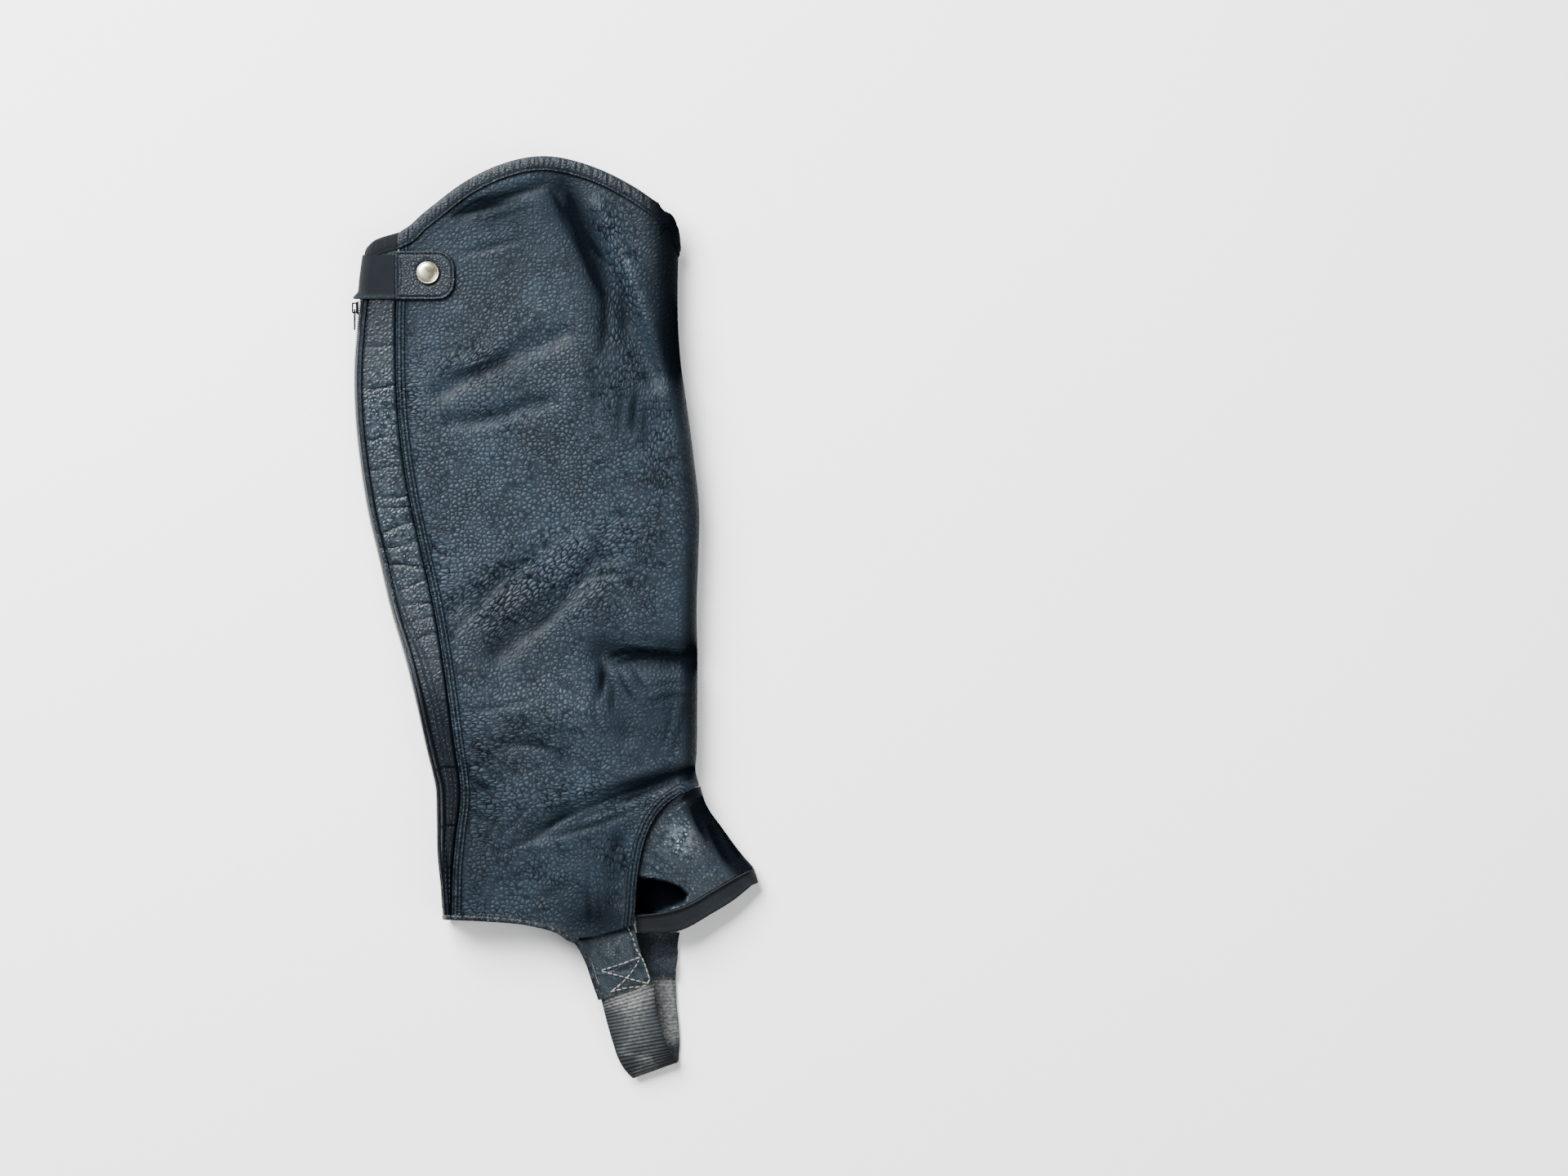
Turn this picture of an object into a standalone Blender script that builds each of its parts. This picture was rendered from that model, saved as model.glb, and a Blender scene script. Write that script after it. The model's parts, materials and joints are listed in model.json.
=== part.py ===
"""One leather half chap for the right leg, laid flat with its outer side up.

Frame: metres, X across the leg towards the toe, Y up the leg, Z away from the surface it
lies on. The origin is under the middle of the laid-out chap. Sizes below are millimetres.
"""

import math

import bmesh
import bpy
import numpy as np
from mathutils import Vector

MM = 0.001

# Walls, seams and trims
LEATHER = 2.0
WEBBING = 1.6
SEAM_GAP = 0.3
HALF_GAP = SEAM_GAP / 2
EDGE_GAP = 0.5
BINDING_WIDTH = 8.6
STRIP_BINDING_WIDTH = 9.5
HEM_WIDTH = 3.0
ZIP_HALF_WIDTH = 3.0
CURVE_STEP = 0.01
TRIM_STEP = 0.02

# Grid of the cloth: cells across each stretch of the girth and down each block
OVER_CELLS = 22
FOLD_CELLS = 5
UNDER_CELLS = 8
STRIP_CELLS = 2
UPPER_ROWS = 24
LOWER_ROWS = 7
GUSSET_ROWS = 12
GUSSET_CELLS = 9
SMOOTH_ANGLE = math.radians(40.0)

# Girth runs 0 to 1 over the outer face, 1 to 2 round the front fold, 2 to 3 under the inner
# face, 3 to 4 round the back edge and 4 to 5 over the back strip, which ends at its seam
FRONT, UNDER, BACK, STRIP, ROUND = 1.0, 2.0, 3.0, 4.0, 5.0
ZIP_GIRTH = 3.5
MID_LEG = 0.0
UPSIDE = np.array([0.0, 0.0, 1.0])
UNDERSIDE = -UPSIDE


def clamp(value, low=0.0, high=1.0):
    """Value held between two limits."""
    return min(max(value, low), high)


def blend(start, end, share):
    """Point or number between two others."""
    return start + (end - start) * share


def ease(share):
    """Soft step from 0 to 1."""
    share = clamp(share)
    return share * share * (3.0 - 2.0 * share)


class Curve:
    """A smooth curve through the rows of a table, read at any key between the first and last."""

    def __init__(self, keys, values):
        order = np.argsort(keys)
        self.keys = np.asarray(keys, float)[order]
        self.values = np.asarray(values, float)[order]
        self.slopes = np.gradient(self.values, self.keys, axis=0)

    def __call__(self, key):
        key = clamp(key, self.keys[0], self.keys[-1])
        row = min(max(int(np.searchsorted(self.keys, key)) - 1, 0), len(self.keys) - 2)
        span = self.keys[row + 1] - self.keys[row]
        s = (key - self.keys[row]) / span
        start = (1 + 2 * s) * self.values[row] + s * span * self.slopes[row]
        end = (3 - 2 * s) * self.values[row + 1] - (1 - s) * span * self.slopes[row + 1]
        return (1 - s) ** 2 * start + s * s * end


class Table:
    """Rows with named columns; each column but the first becomes a curve against the first."""

    def __init__(self, names, rows):
        names = names.split()
        columns = np.array(rows, float).T
        for name, column in zip(names[1:], columns[1:]):
            setattr(self, name, Curve(columns[0], column))


def path(points):
    """A plan curve through points, read from 0 at its start to 1 at its end."""
    points = np.array(points, float)
    steps = np.linalg.norm(np.diff(points, axis=0), axis=1)
    return Curve(np.concatenate(([0.0], np.cumsum(steps))) / steps.sum(), points)


def shifted(line, distance):
    """The same plan curve moved to the right of its direction by a distance."""
    def moved(share):
        ahead = line(min(share + CURVE_STEP, 1.0)) - line(max(share - CURVE_STEP, 0.0))
        ahead /= np.linalg.norm(ahead)
        return line(share) + distance * np.array([ahead[1], -ahead[0]])
    return moved


# Sections down the leg: where the two folded edges lie, how high the outer face stands over
# the surface at back, middle and front, and how far each fold reaches in
LEG = Table("y back front back_h mid_h front_h back_r front_r", [
    (271.0, -110.5, 71.8, 10.5, 15.0, 19.0, 5.0, 11.5),
    (219.0, -111.5, 71.8, 10.8, 16.0, 21.0, 5.0, 11.5),
    (197.0, -114.3, 71.4, 11.0, 16.5, 22.0, 5.0, 11.5),
    (184.0, -115.3, 71.3, 11.0, 17.0, 22.5, 5.0, 11.5),
    (168.5, -116.9, 71.7, 11.0, 17.5, 23.0, 5.0, 11.5),
    (149.0, -118.4, 73.2, 11.0, 18.5, 23.0, 5.0, 11.5),
    (120.5, -118.0, 77.3, 11.5, 19.0, 23.0, 5.0, 11.0),
    (92.0, -115.2, 81.0, 12.0, 19.0, 22.5, 5.2, 11.0),
    (63.0, -110.6, 84.0, 12.5, 19.0, 22.0, 5.5, 11.0),
    (34.0, -103.8, 83.4, 14.0, 19.5, 21.5, 6.5, 10.5),
    (5.0, -97.0, 82.5, 16.0, 20.0, 21.0, 8.5, 10.5),
    (-23.5, -88.6, 82.9, 19.0, 21.0, 20.5, 12.5, 10.5),
    (-52.0, -81.5, 82.8, 21.5, 22.5, 20.0, 14.0, 10.5),
    (-81.0, -74.9, 82.4, 23.5, 23.5, 20.0, 13.0, 10.5),
    (-90.0, -72.6, 81.8, 24.0, 23.8, 20.0, 12.6, 10.5),
    (-98.0, -70.8, 83.8, 24.5, 24.0, 20.0, 12.0, 11.0),
    (-117.0, -69.9, 83.8, 25.0, 24.0, 20.0, 10.5, 11.0),
    (-139.0, -69.4, 83.8, 25.0, 23.5, 20.0, 7.5, 11.0),
    (-160.0, -67.4, 83.8, 24.0, 22.5, 20.0, 5.2, 11.0),
    (-178.0, -66.3, 83.8, 23.0, 22.0, 20.0, 4.4, 11.0),
])

# The seam between the back strip and the outer face
STRIP_SEAM = Table("y x", [
    (271.0, -92.4), (219.0, -92.4), (171.0, -94.3), (113.0, -92.4), (75.0, -87.1),
    (46.0, -80.9), (8.0, -72.2), (-31.0, -65.5), (-69.0, -60.2), (-107.0, -55.9),
    (-127.0, -58.3), (-146.0, -60.2), (-170.0, -61.0),
])

# The top edge round the girth: a high curve outside, a lower one inside
TOP_EDGE = Table("girth y", [
    (0.00, 226.0), (0.04, 230.0), (0.09, 237.0), (0.134, 242.3), (0.228, 253.2),
    (0.384, 265.4), (0.556, 270.6), (0.728, 265.4), (0.916, 251.5), (1.00, 242.9), (1.25, 235.5),
    (1.50, 224.6), (1.75, 218.5), (2.00, 215.0), (2.50, 210.0), (3.00, 214.0),
    (3.50, 217.5), (4.00, 221.5), (5.00, 226.0),
])

# Where the whole tube ends and the outer and inner flaps begin
FLAP_TOP = -96.5
FLAP_DIP = -103.7
FOLD_RISE = 5.8
DIP_START = 0.85

# Where the back strip and the zip end
BACK_HEM = -173.9

# The seam from the front fold down to the stirrup tab, where the instep gusset is sewn in
GUSSET_SEAM_ROWS = [
    (64.1, -110.4), (58.3, -117.6), (52.3, -131.0), (49.0, -145.9), (47.5, -158.4),
    (46.6, -172.8), (45.8, -180.0),
]
SEAM_END_ON_GUSSET = 0.93

# Lower edges of the two flaps, from the back to the gusset seam
OUTER_HEM_ROWS = [
    (-60.9, -173.9), (-39.1, -174.9), (-15.1, -177.3), (2.4, -182.2), (10.8, -187.2),
    (20.4, -187.0), (33.0, -183.8), (45.8, -180.0),
]
INNER_HEM_ROWS = [
    (45.8, -181.4), (28.1, -181.0), (8.9, -180.0), (-15.1, -176.6), (-39.1, -174.6),
    (-61.9, -173.9),
]
HEM_TURN = 0.66

# Large folds of the outer face: start, bend and end of each, its half width and its rise
FOLDS = [
    ("ridge behind the front edge", (25, 240), (50, 197), (68, 131), 6.5, 2.6),
    ("valley beside that ridge", (4, 250), (27, 204), (59, 142), 8.0, -3.0),
    ("upper calf valley", (4, 166), (-29, 152), (-68, 132), 6.0, -1.6),
    ("second calf valley", (-5, 126), (-34, 118), (-60, 115), 5.0, -1.2),
    ("long valley by the strip", (-15, 32), (-39, 17), (-58, 5), 6.0, -1.5),
    ("long valley across the shin", (26, 32), (-5, 5), (-34, -21), 7.5, -2.2),
    ("dimple over the ankle", (28, -21), (52, -25), (79, -24), 8.0, -4.0),
    ("dimple's tail", (28, -36), (37, -45), (42, -69), 6.0, -1.6),
    ("ankle crease", (80, -89), (27, -112), (-12, -126), 5.0, -2.0),
    ("ankle bulge", (-20, -55), (0, -60), (20, -62), 13.0, 1.6),
    ("wrinkle beside the gusset", (37, -131), (36, -148), (35, -165), 4.5, -1.4),
    ("creases under the top edge", (-55, 236), (-30, 246), (-8, 254), 4.0, -1.2),
]
FOLD_SAMPLES = 10

# The instep gusset: its front fold, free edge, and the pocket where it is pushed in
GUSSET_FOLD_ROWS = [
    (84.6, -99.0), (87.8, -109.2), (97.4, -123.4), (108.7, -138.7), (115.9, -146.9),
]
GUSSET_FREE_ROWS = [(64.6, -171.8), (78.0, -167.5), (90.5, -160.3), (107.0, -151.0)]
CONTOUR_ROWS = [(47.6, -184.6), (73.2, -183.4), (90.5, -174.2), (104.9, -165.3)]
CONTOUR_FOLD = (118.8, -155.6)
GUSSET_SEAM_SIDE = 0.35
GUSSET_DROP = 2.5
GUSSET_DROP_END = 0.25
GUSSET_CROWN = 2.0
GUSSET_FOLD_START_R = 10.0
GUSSET_FOLD_END_R = 4.2
GUSSET_FOLD_END_H = 9.0
BAND_SINK = 2.0
BAND_GAP = 0.4
POCKET_CENTRE = (63.0, -161.5)
POCKET_REACH = (17.5, 8.5)
POCKET_TURN = math.radians(-14.0)
POCKET_DEPTH = 11.0
POCKET_FLOOR = 4.6
POCKET_POWER = 3

# The stirrup: an outer tab over an elastic loop, which comes back up to an inner tab
TAB_TOP_ROWS = [(10.8, -184.6), (29.0, -182.0), (45.2, -178.0)]
TAB_END_ROWS = [(28.1, -223.3), (42.0, -218.6), (55.9, -213.1)]
TAB_BACK_ROWS = [
    (10.8, -184.6), (16.4, -192.6), (20.8, -201.8), (24.6, -213.4), (28.1, -223.3),
]
TAB_FRONT_ROWS = [(45.2, -178.0), (49.5, -196.0), (55.9, -213.1)]
TAB_LAP = 2.35
TAB_END_Z = 14.5
HEM_ON_TAB = (-0.012, -0.1)
HEM_ON_TAB_START = 0.12
TAB_ROWS = 7
TAB_CELLS = 5

# Stations along the elastic loop: left and right edge in plan, and the outer face's height
STIRRUP_LOOP = [
    (23.9, -215.8, 53.0, -205.2, 12.2),
    (26.9, -225.9, 56.9, -215.6, 12.0),
    (29.6, -236.8, 58.8, -231.4, 11.6),
    (33.2, -249.4, 62.6, -244.3, 10.8),
    (36.9, -259.9, 66.9, -254.4, 9.6),
    (40.6, -266.0, 69.1, -257.5, 8.2),
    (43.6, -269.4, 70.8, -260.6, 6.2),
    (45.0, -270.7, 71.3, -261.3, 4.2),
    (45.4, -270.2, 71.8, -260.4, 2.0),
    (45.4, -266.8, 72.0, -256.8, 0.4),
    (44.8, -258.6, 72.4, -250.6, 0.0),
    (43.9, -245.0, 72.0, -241.0, 0.0),
    (41.6, -226.0, 70.6, -226.0, 0.0),
    (39.6, -206.6, 70.0, -206.6, 0.0),
]
STIRRUP_CELLS = 4

# The inner tab lies on the surface and laps over the end of the elastic
INNER_TAB = [
    (72.4, -185.2, 41.0, -185.6, 0.0),
    (71.3, -192.0, 40.4, -193.0, 0.0),
    (71.2, -200.6, 39.8, -201.0, 0.0),
    (70.6, -204.4, 39.3, -204.6, 1.95),
    (70.2, -211.2, 39.0, -211.2, 1.95),
]

# The snap closure: a leather tab on an elastic band that passes round the back edge
SNAP_TOP = 215.0
SNAP_BOTTOM = 186.3
SNAP_BACK = -94.3
SNAP_FRONT = -59.3
SNAP_CORNER = 10.5
SNAP_CORNER_TURNS = (0, 25, 50, 72, 90)
SNAP_CELLS = 7
BAND_TOP = 212.6
BAND_BOTTOM = 186.9
BAND_END_GIRTH = 3.26
BAND_CELLS = 9
BAND_ROWS = 5
BAND_WALL = 1.4
BAND_FLARE = 3.0
BAND_FLARE_REACH = 5.0
BAND_FLARE_GIRTH = 3.6
BAND_FLARE_SPREAD = 0.2
CAP_CENTRE = (-75.1, 202.1)
CAP_RADIUS = 6.7
CAP_EDGE = 0.9
CAP_HEIGHT = 2.5
CAP_GAP = 0.48
CAP_SIDES = 28
CAP_RINGS = 4

# The slider rides on the zip's outer face; the pull turns in its crown
SLIDER_Y = 181.8
SLIDER_SIZE = (1.4, 8.0, 6.4)
CROWN_SIZE = (2.5, 6.4, 1.8)
CROWN_WALL = 0.9
CROWN_SINK = 0.4
CROWN_CORNER = 0.4
SLIDER_BEVEL = 0.8
PIVOT_DROP = 1.2
PIVOT_RISE = 0.82
PULL_LENGTH = 12.0
PULL_WIDTH = 5.2
PULL_WALL = 0.9
PULL_EYE = (3.4, 2.8)
PULL_TIP_WIDTH = 3.6
PULL_TIP_CORNER = (1.2, 0.8)


def relief(x, y):
    """Rise of the large folds at a place on the outer face."""
    rise = 0.0
    here = np.array([x, y], float)
    for _, start, bend, end, reach, height in FOLDS:
        start, bend, end = (np.array(p, float) for p in (start, bend, end))
        nearest = math.inf
        for step in range(FOLD_SAMPLES + 1):
            s = step / FOLD_SAMPLES
            spot = (1 - s) ** 2 * start + 2 * s * (1 - s) * bend + s * s * end
            nearest = min(nearest, float(np.sum((here - spot) ** 2)))
        rise += height * math.exp(-nearest / reach ** 2)
    return rise


def outer_height(x, y):
    """Height of the outer face over the surface the chap lies on."""
    back, front = LEG.back(y), LEG.front(y)
    t = clamp((x - back) / (front - back))
    level = (LEG.back_h(y) * (1 - t) * (1 - 2 * t) + LEG.mid_h(y) * 4 * t * (1 - t)
             + LEG.front_h(y) * t * (2 * t - 1))
    return level + relief(x, y)


def leg_point(girth, y):
    """Point of the tube's outer skin at a place round the girth and a height up the leg."""
    girth %= ROUND
    share = girth - int(girth)
    back, front = LEG.back(y), LEG.front(y)
    back_r, front_r = LEG.back_r(y), LEG.front_r(y)
    seam = STRIP_SEAM.x(y)
    if girth < FRONT:
        x = blend(seam, front - front_r, share)
        return np.array([x, y, outer_height(x, y)])
    if girth < UNDER:
        half = outer_height(front - front_r, y) / 2
        turn = math.pi * (0.5 - share)
        return np.array([front - front_r + front_r * math.cos(turn), y,
                         half + half * math.sin(turn)])
    if girth < BACK:
        return np.array([blend(front - front_r, back + back_r, share), y, 0.0])
    if girth < STRIP:
        half = outer_height(back + back_r, y) / 2
        turn = math.pi * (1.5 - share)
        return np.array([back + back_r + back_r * math.cos(turn), y,
                         half + half * math.sin(turn)])
    x = blend(back + back_r, seam, share)
    return np.array([x, y, outer_height(x, y)])


def leg_skin(girth, y, out=0.0):
    """Point of the tube's skin, or out from it along its normal, with that normal."""
    across = leg_point(girth + CURVE_STEP, y) - leg_point(girth - CURVE_STEP, y)
    down = leg_point(girth, y - 1.0) - leg_point(girth, y + 1.0)
    normal = np.cross(down, across)
    normal /= np.linalg.norm(normal)
    return leg_point(girth, y) + out * normal, normal


def face_skin(x, y):
    """Point of the outer face at a place in plan, with its normal."""
    slope_x = (outer_height(x + 1.0, y) - outer_height(x - 1.0, y)) / 2
    slope_y = (outer_height(x, y + 1.0) - outer_height(x, y - 1.0)) / 2
    normal = np.array([-slope_x, -slope_y, 1.0])
    return np.array([x, y, outer_height(x, y)]), normal / np.linalg.norm(normal)


def zip_half_girth(y, reach=ZIP_HALF_WIDTH + HALF_GAP):
    """Half the zip's width as a share of the girth, at a height up the leg."""
    half = outer_height(LEG.back(y) + LEG.back_r(y), y) / 2
    return reach / half / math.pi


def edge_drop(girth, width):
    """Height on the leg that a trim of a given width takes up along the top edge."""
    low, high = max(girth - TRIM_STEP, 0.0), min(girth + TRIM_STEP, ROUND)
    y = TOP_EDGE.y(girth)
    run = np.linalg.norm(leg_point(high, y) - leg_point(low, y))
    slope = (TOP_EDGE.y(high) - TOP_EDGE.y(low)) / run
    return width * math.sqrt(1.0 + slope * slope)


def cloth_top(girth):
    """Top edge of the panel or strip, under its binding."""
    width = STRIP_BINDING_WIDTH if girth > ZIP_GIRTH else BINDING_WIDTH
    return TOP_EDGE.y(girth) - edge_drop(girth, width + EDGE_GAP)


def flap_line(girth):
    """Height on the leg where the tube ends, lower beside the front fold."""
    if FRONT <= girth <= UNDER:
        return FLAP_DIP + FOLD_RISE * math.sin(math.pi * (girth - FRONT))
    if girth < FRONT:
        near = (girth - DIP_START) / (FRONT - DIP_START)
    else:
        near = (UNDER + FRONT - DIP_START - girth) / (FRONT - DIP_START)
    return blend(FLAP_TOP, FLAP_DIP, ease(near))


def row_height(row, girth):
    """Height on the leg of one row of the cloth's grid, at a place round the girth."""
    if row <= UPPER_ROWS:
        return blend(cloth_top(girth), flap_line(girth), row / UPPER_ROWS)
    return blend(flap_line(girth), BACK_HEM, (row - UPPER_ROWS) / LOWER_ROWS)


def coons(top, bottom, left, right, across, down):
    """Plan point of a four-sided patch between its edge curves."""
    edges = (blend(top(across), bottom(across), down) + blend(left(down), right(down), across))
    corners = blend(blend(top(0.0), top(1.0), across), blend(bottom(0.0), bottom(1.0), across), down)
    return edges - corners


GUSSET_SEAM = path([leg_point(FRONT, FLAP_DIP)[:2]] + GUSSET_SEAM_ROWS)
PANEL_SEAM = shifted(GUSSET_SEAM, HALF_GAP)
OUTER_HEM = path(OUTER_HEM_ROWS)
INNER_HEM = path(INNER_HEM_ROWS)


def panel_girths(y):
    """Places of the panel's grid columns round the girth, at a height up the leg."""
    width = LEG.front(y) - LEG.front_r(y) - STRIP_SEAM.x(y)
    start = HALF_GAP / width
    last = ZIP_GIRTH - zip_half_girth(y)
    return (list(np.linspace(start, FRONT, OVER_CELLS + 1))
            + list(np.linspace(FRONT, UNDER, FOLD_CELLS + 1)[1:])
            + list(np.linspace(UNDER, BACK, UNDER_CELLS + 1)[1:])
            + [blend(BACK, last, 0.5), last])


def panel_row(row):
    """Points of one whole row of the panel, round the tube."""
    shares = panel_girths(MID_LEG)
    points = []
    for column, share in enumerate(shares):
        y = row_height(row, share)
        girth = panel_girths(y)[column]
        points.append(leg_skin(girth, y))
    return points


def outer_flap_point(across, down):
    """Point of the outer flap between the strip seam and the gusset seam."""
    def top(share):
        girth = panel_girths(FLAP_TOP)[0] * (1 - share) + share
        return leg_point(girth, flap_line(girth))[:2]

    def left(share):
        y = blend(FLAP_TOP, BACK_HEM, share)
        return np.array([STRIP_SEAM.x(y) + HALF_GAP, y])

    def bottom(share):
        return OUTER_HEM(share)

    return face_skin(*coons(top, bottom, left, PANEL_SEAM, across, down))


def inner_flap_point(across, down):
    """Point of the inner flap, which lies on the surface, from the gusset seam to the back."""
    def top(share):
        girth = UNDER + share
        return leg_point(girth, flap_line(girth))[:2]

    def right(share):
        y = blend(FLAP_TOP, BACK_HEM, share)
        return np.array([LEG.back(y) + LEG.back_r(y), y])

    x, y = coons(top, INNER_HEM, PANEL_SEAM, right, across, down)
    return np.array([x, y, 0.0]), UNDERSIDE


def material(name, colour, roughness, metallic=0.0):
    """A plain finish by its linear colour, roughness and metallic value."""
    finish = bpy.data.materials.new(name)
    finish.use_nodes = True
    shader = finish.node_tree.nodes["Principled BSDF"]
    shader.inputs["Base Color"].default_value = (*colour, 1.0)
    shader.inputs["Roughness"].default_value = roughness
    shader.inputs["Metallic"].default_value = metallic
    return finish


def finish_object(name, mesh_data, finish, origin=(0.0, 0.0, 0.0)):
    """Object from a bmesh in millimetres, with its origin at a given point."""
    bmesh.ops.translate(mesh_data, verts=mesh_data.verts, vec=-Vector(origin))
    bmesh.ops.scale(mesh_data, verts=mesh_data.verts, vec=Vector((MM, MM, MM)))
    mesh = bpy.data.meshes.new(name)
    mesh_data.to_mesh(mesh)
    mesh_data.free()
    mesh.materials.append(finish)
    mesh.shade_smooth()
    mesh.set_sharp_from_angle(angle=SMOOTH_ANGLE)
    piece = bpy.data.objects.new(name, mesh)
    piece.location = Vector(origin) * MM
    bpy.context.scene.collection.objects.link(piece)
    return piece


class Sheet:
    """The outer face of a piece of cloth: points with their normals, and four-sided faces.

    A point given without a normal takes that of the faces round it.
    """

    def __init__(self):
        self.points = []
        self.faces = []

    def add_rows(self, rows, first=None):
        """Joins rows of points into faces, the first of them onto points already here."""
        numbers = [first] if first is not None else []
        for row in rows:
            row = [item if isinstance(item, tuple) else (item, None) for item in row]
            numbers.append(list(range(len(self.points), len(self.points) + len(row))))
            self.points.extend(row)
        for above, below in zip(numbers, numbers[1:]):
            for j in range(len(above) - 1):
                self.faces.append((above[j], below[j], below[j + 1], above[j + 1]))
        return numbers

    def wall(self, name, thickness, finish):
        """Closed wall: the outer face, the same face moved in, and a rim all round."""
        data = bmesh.new()
        outer = [data.verts.new(point) for point, _ in self.points]
        for face in self.faces:
            data.faces.new([outer[k] for k in face])
        data.normal_update()
        loops = [edge.link_loops[0] for edge in data.edges if edge.is_boundary]
        rims = [(loop.vert, loop.link_loop_next.vert) for loop in loops]
        inner = {}
        for vert, (point, normal) in zip(outer, self.points):
            inward = vert.normal if normal is None else Vector(normal)
            inner[vert] = data.verts.new(vert.co - inward * thickness)
        for face in list(data.faces):
            data.faces.new([inner[v] for v in reversed(face.verts)])
        for start, end in rims:
            data.faces.new([end, start, inner[start], inner[end]])
        data.normal_update()
        return finish_object(name, data, finish)


def build_body_panel(finish):
    """The one large leather piece: outer face, round the front fold, and inner face."""
    sheet = Sheet()
    numbers = sheet.add_rows([panel_row(row) for row in range(UPPER_ROWS + 1)])
    last = numbers[-1]
    outer_rows = [[outer_flap_point(j / OVER_CELLS, i / LOWER_ROWS) for j in range(OVER_CELLS + 1)]
                  for i in range(1, LOWER_ROWS + 1)]
    sheet.add_rows(outer_rows, last[:OVER_CELLS + 1])
    inner_rows = []
    for i in range(1, LOWER_ROWS + 1):
        row = [inner_flap_point(j / UNDER_CELLS, i / LOWER_ROWS) for j in range(UNDER_CELLS + 1)]
        y = row_height(UPPER_ROWS + i, BACK)
        row += [leg_skin(girth, y) for girth in panel_girths(y)[-2:]]
        inner_rows.append(row)
    sheet.add_rows(inner_rows, last[OVER_CELLS + FOLD_CELLS:])
    return sheet.wall("body_panel", LEATHER, finish)


def back_girths(y):
    """Places of the back strip's columns round the girth."""
    first = ZIP_GIRTH + zip_half_girth(y)
    width = STRIP_SEAM.x(y) - LEG.back(y) - LEG.back_r(y)
    last = ROUND - HALF_GAP / width
    return ([first, blend(first, STRIP, 0.5)] + list(np.linspace(STRIP, last, STRIP_CELLS + 1)))


def build_back_strip(finish):
    """The smooth stretch strip between the zip and the outer face."""
    rows = []
    for row in range(UPPER_ROWS + LOWER_ROWS + 1):
        y = [row_height(row, girth) for girth in back_girths(MID_LEG)]
        rows.append([leg_skin(back_girths(y[k])[k], y[k]) for k in range(len(y))])
    sheet = Sheet()
    sheet.add_rows(rows)
    return sheet.wall("back_strip", LEATHER, finish)


def build_zip(finish):
    """The closed zip along the back edge: both tapes and the chain as one band."""
    levels = [TOP_EDGE.y(ZIP_GIRTH)]
    levels += [row_height(row, ZIP_GIRTH) for row in range(UPPER_ROWS + LOWER_ROWS + 1)]
    rows = []
    for y in levels:
        half = zip_half_girth(y, ZIP_HALF_WIDTH - HALF_GAP)
        rows.append([leg_skin(ZIP_GIRTH + side * half, y) for side in (-1, 0, 1)])
    sheet = Sheet()
    sheet.add_rows(rows)
    return sheet.wall("zip_chain", LEATHER, finish)


def top_trim(name, girths_at, width, finish):
    """A binding that stands on the cloth's top edge and follows it round the leg."""
    rows = [[], []]
    for column, share in enumerate(girths_at(MID_LEG)):
        top = TOP_EDGE.y(share)
        low = top - edge_drop(share, width)
        for row, y in zip(rows, (top, low)):
            row.append(leg_skin(girths_at(y)[column], y))
    sheet = Sheet()
    sheet.add_rows(rows)
    return sheet.wall(name, LEATHER, finish)


TAB_TOP = path(TAB_TOP_ROWS)
TAB_END = path(TAB_END_ROWS)
TAB_BACK = path(TAB_BACK_ROWS)
TAB_FRONT = path(TAB_FRONT_ROWS)


def tab_point(across, down):
    """Point of the outer stirrup tab; a negative across lies beside it, towards the back."""
    inside = max(across, 0.0)
    x, y = coons(TAB_TOP, TAB_END, TAB_BACK, TAB_FRONT, inside, down)
    if across < 0.0:
        width = np.linalg.norm(TAB_TOP(1.0) - TAB_TOP(0.0))
        x, y = shifted(TAB_BACK, -across * width)(down)
    top_x, top_y = TAB_TOP(inside)
    top_z = outer_height(top_x, top_y) - TAB_LAP
    return np.array([x, y, blend(top_z, TAB_END_Z, down)])


def build_outer_tab(finish):
    """The outer stirrup tab, sewn under the outer flap's lower edge."""
    sheet = Sheet()
    sheet.add_rows([[tab_point(j / TAB_CELLS, i / TAB_ROWS) for j in range(TAB_CELLS + 1)]
                    for i in range(TAB_ROWS + 1)])
    return sheet.wall("stirrup_tab_outer", LEATHER, finish)


def build_outer_hem(finish):
    """Thin binding along the strip's and outer flap's lower edge and down the tab."""
    stations = []
    for column in range(len(back_girths(MID_LEG))):
        pair = []
        for y in (BACK_HEM - SEAM_GAP, BACK_HEM - SEAM_GAP - HEM_WIDTH):
            pair.append(leg_skin(back_girths(y)[column], y))
        stations.append(pair)
    cells = int(OVER_CELLS * HEM_TURN)
    for step in range(1, cells + 1):
        share = HEM_TURN * step / cells
        pair = []
        for distance in (SEAM_GAP, SEAM_GAP + HEM_WIDTH):
            pair.append(face_skin(*shifted(OUTER_HEM, distance)(share)))
        stations.append(pair)
    for step in range(1, TAB_ROWS + 1):
        down = blend(HEM_ON_TAB_START, 1.0, step / TAB_ROWS)
        stations.append([tab_point(across, down) for across in HEM_ON_TAB])
    sheet = Sheet()
    sheet.add_rows([[pair[0] for pair in stations], [pair[1] for pair in stations]])
    return sheet.wall("hem_binding_outer", LEATHER, finish)


def build_inner_hem(finish):
    """Thin binding along the inner flap's lower edge, from the zip to the gusset."""
    stations = []
    for step in range(UNDER_CELLS + 1):
        share = step / UNDER_CELLS
        stations.append([(np.array([*shifted(INNER_HEM, -distance)(share), 0.0]), UNDERSIDE)
                         for distance in (SEAM_GAP, SEAM_GAP + HEM_WIDTH)])
    for column in (-2, -1):
        stations.append([leg_skin(panel_girths(y)[column], y)
                         for y in (BACK_HEM - SEAM_GAP, BACK_HEM - SEAM_GAP - HEM_WIDTH)])
    sheet = Sheet()
    sheet.add_rows([[pair[0] for pair in stations], [pair[1] for pair in stations]])
    return sheet.wall("hem_binding_inner", LEATHER, finish)


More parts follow.
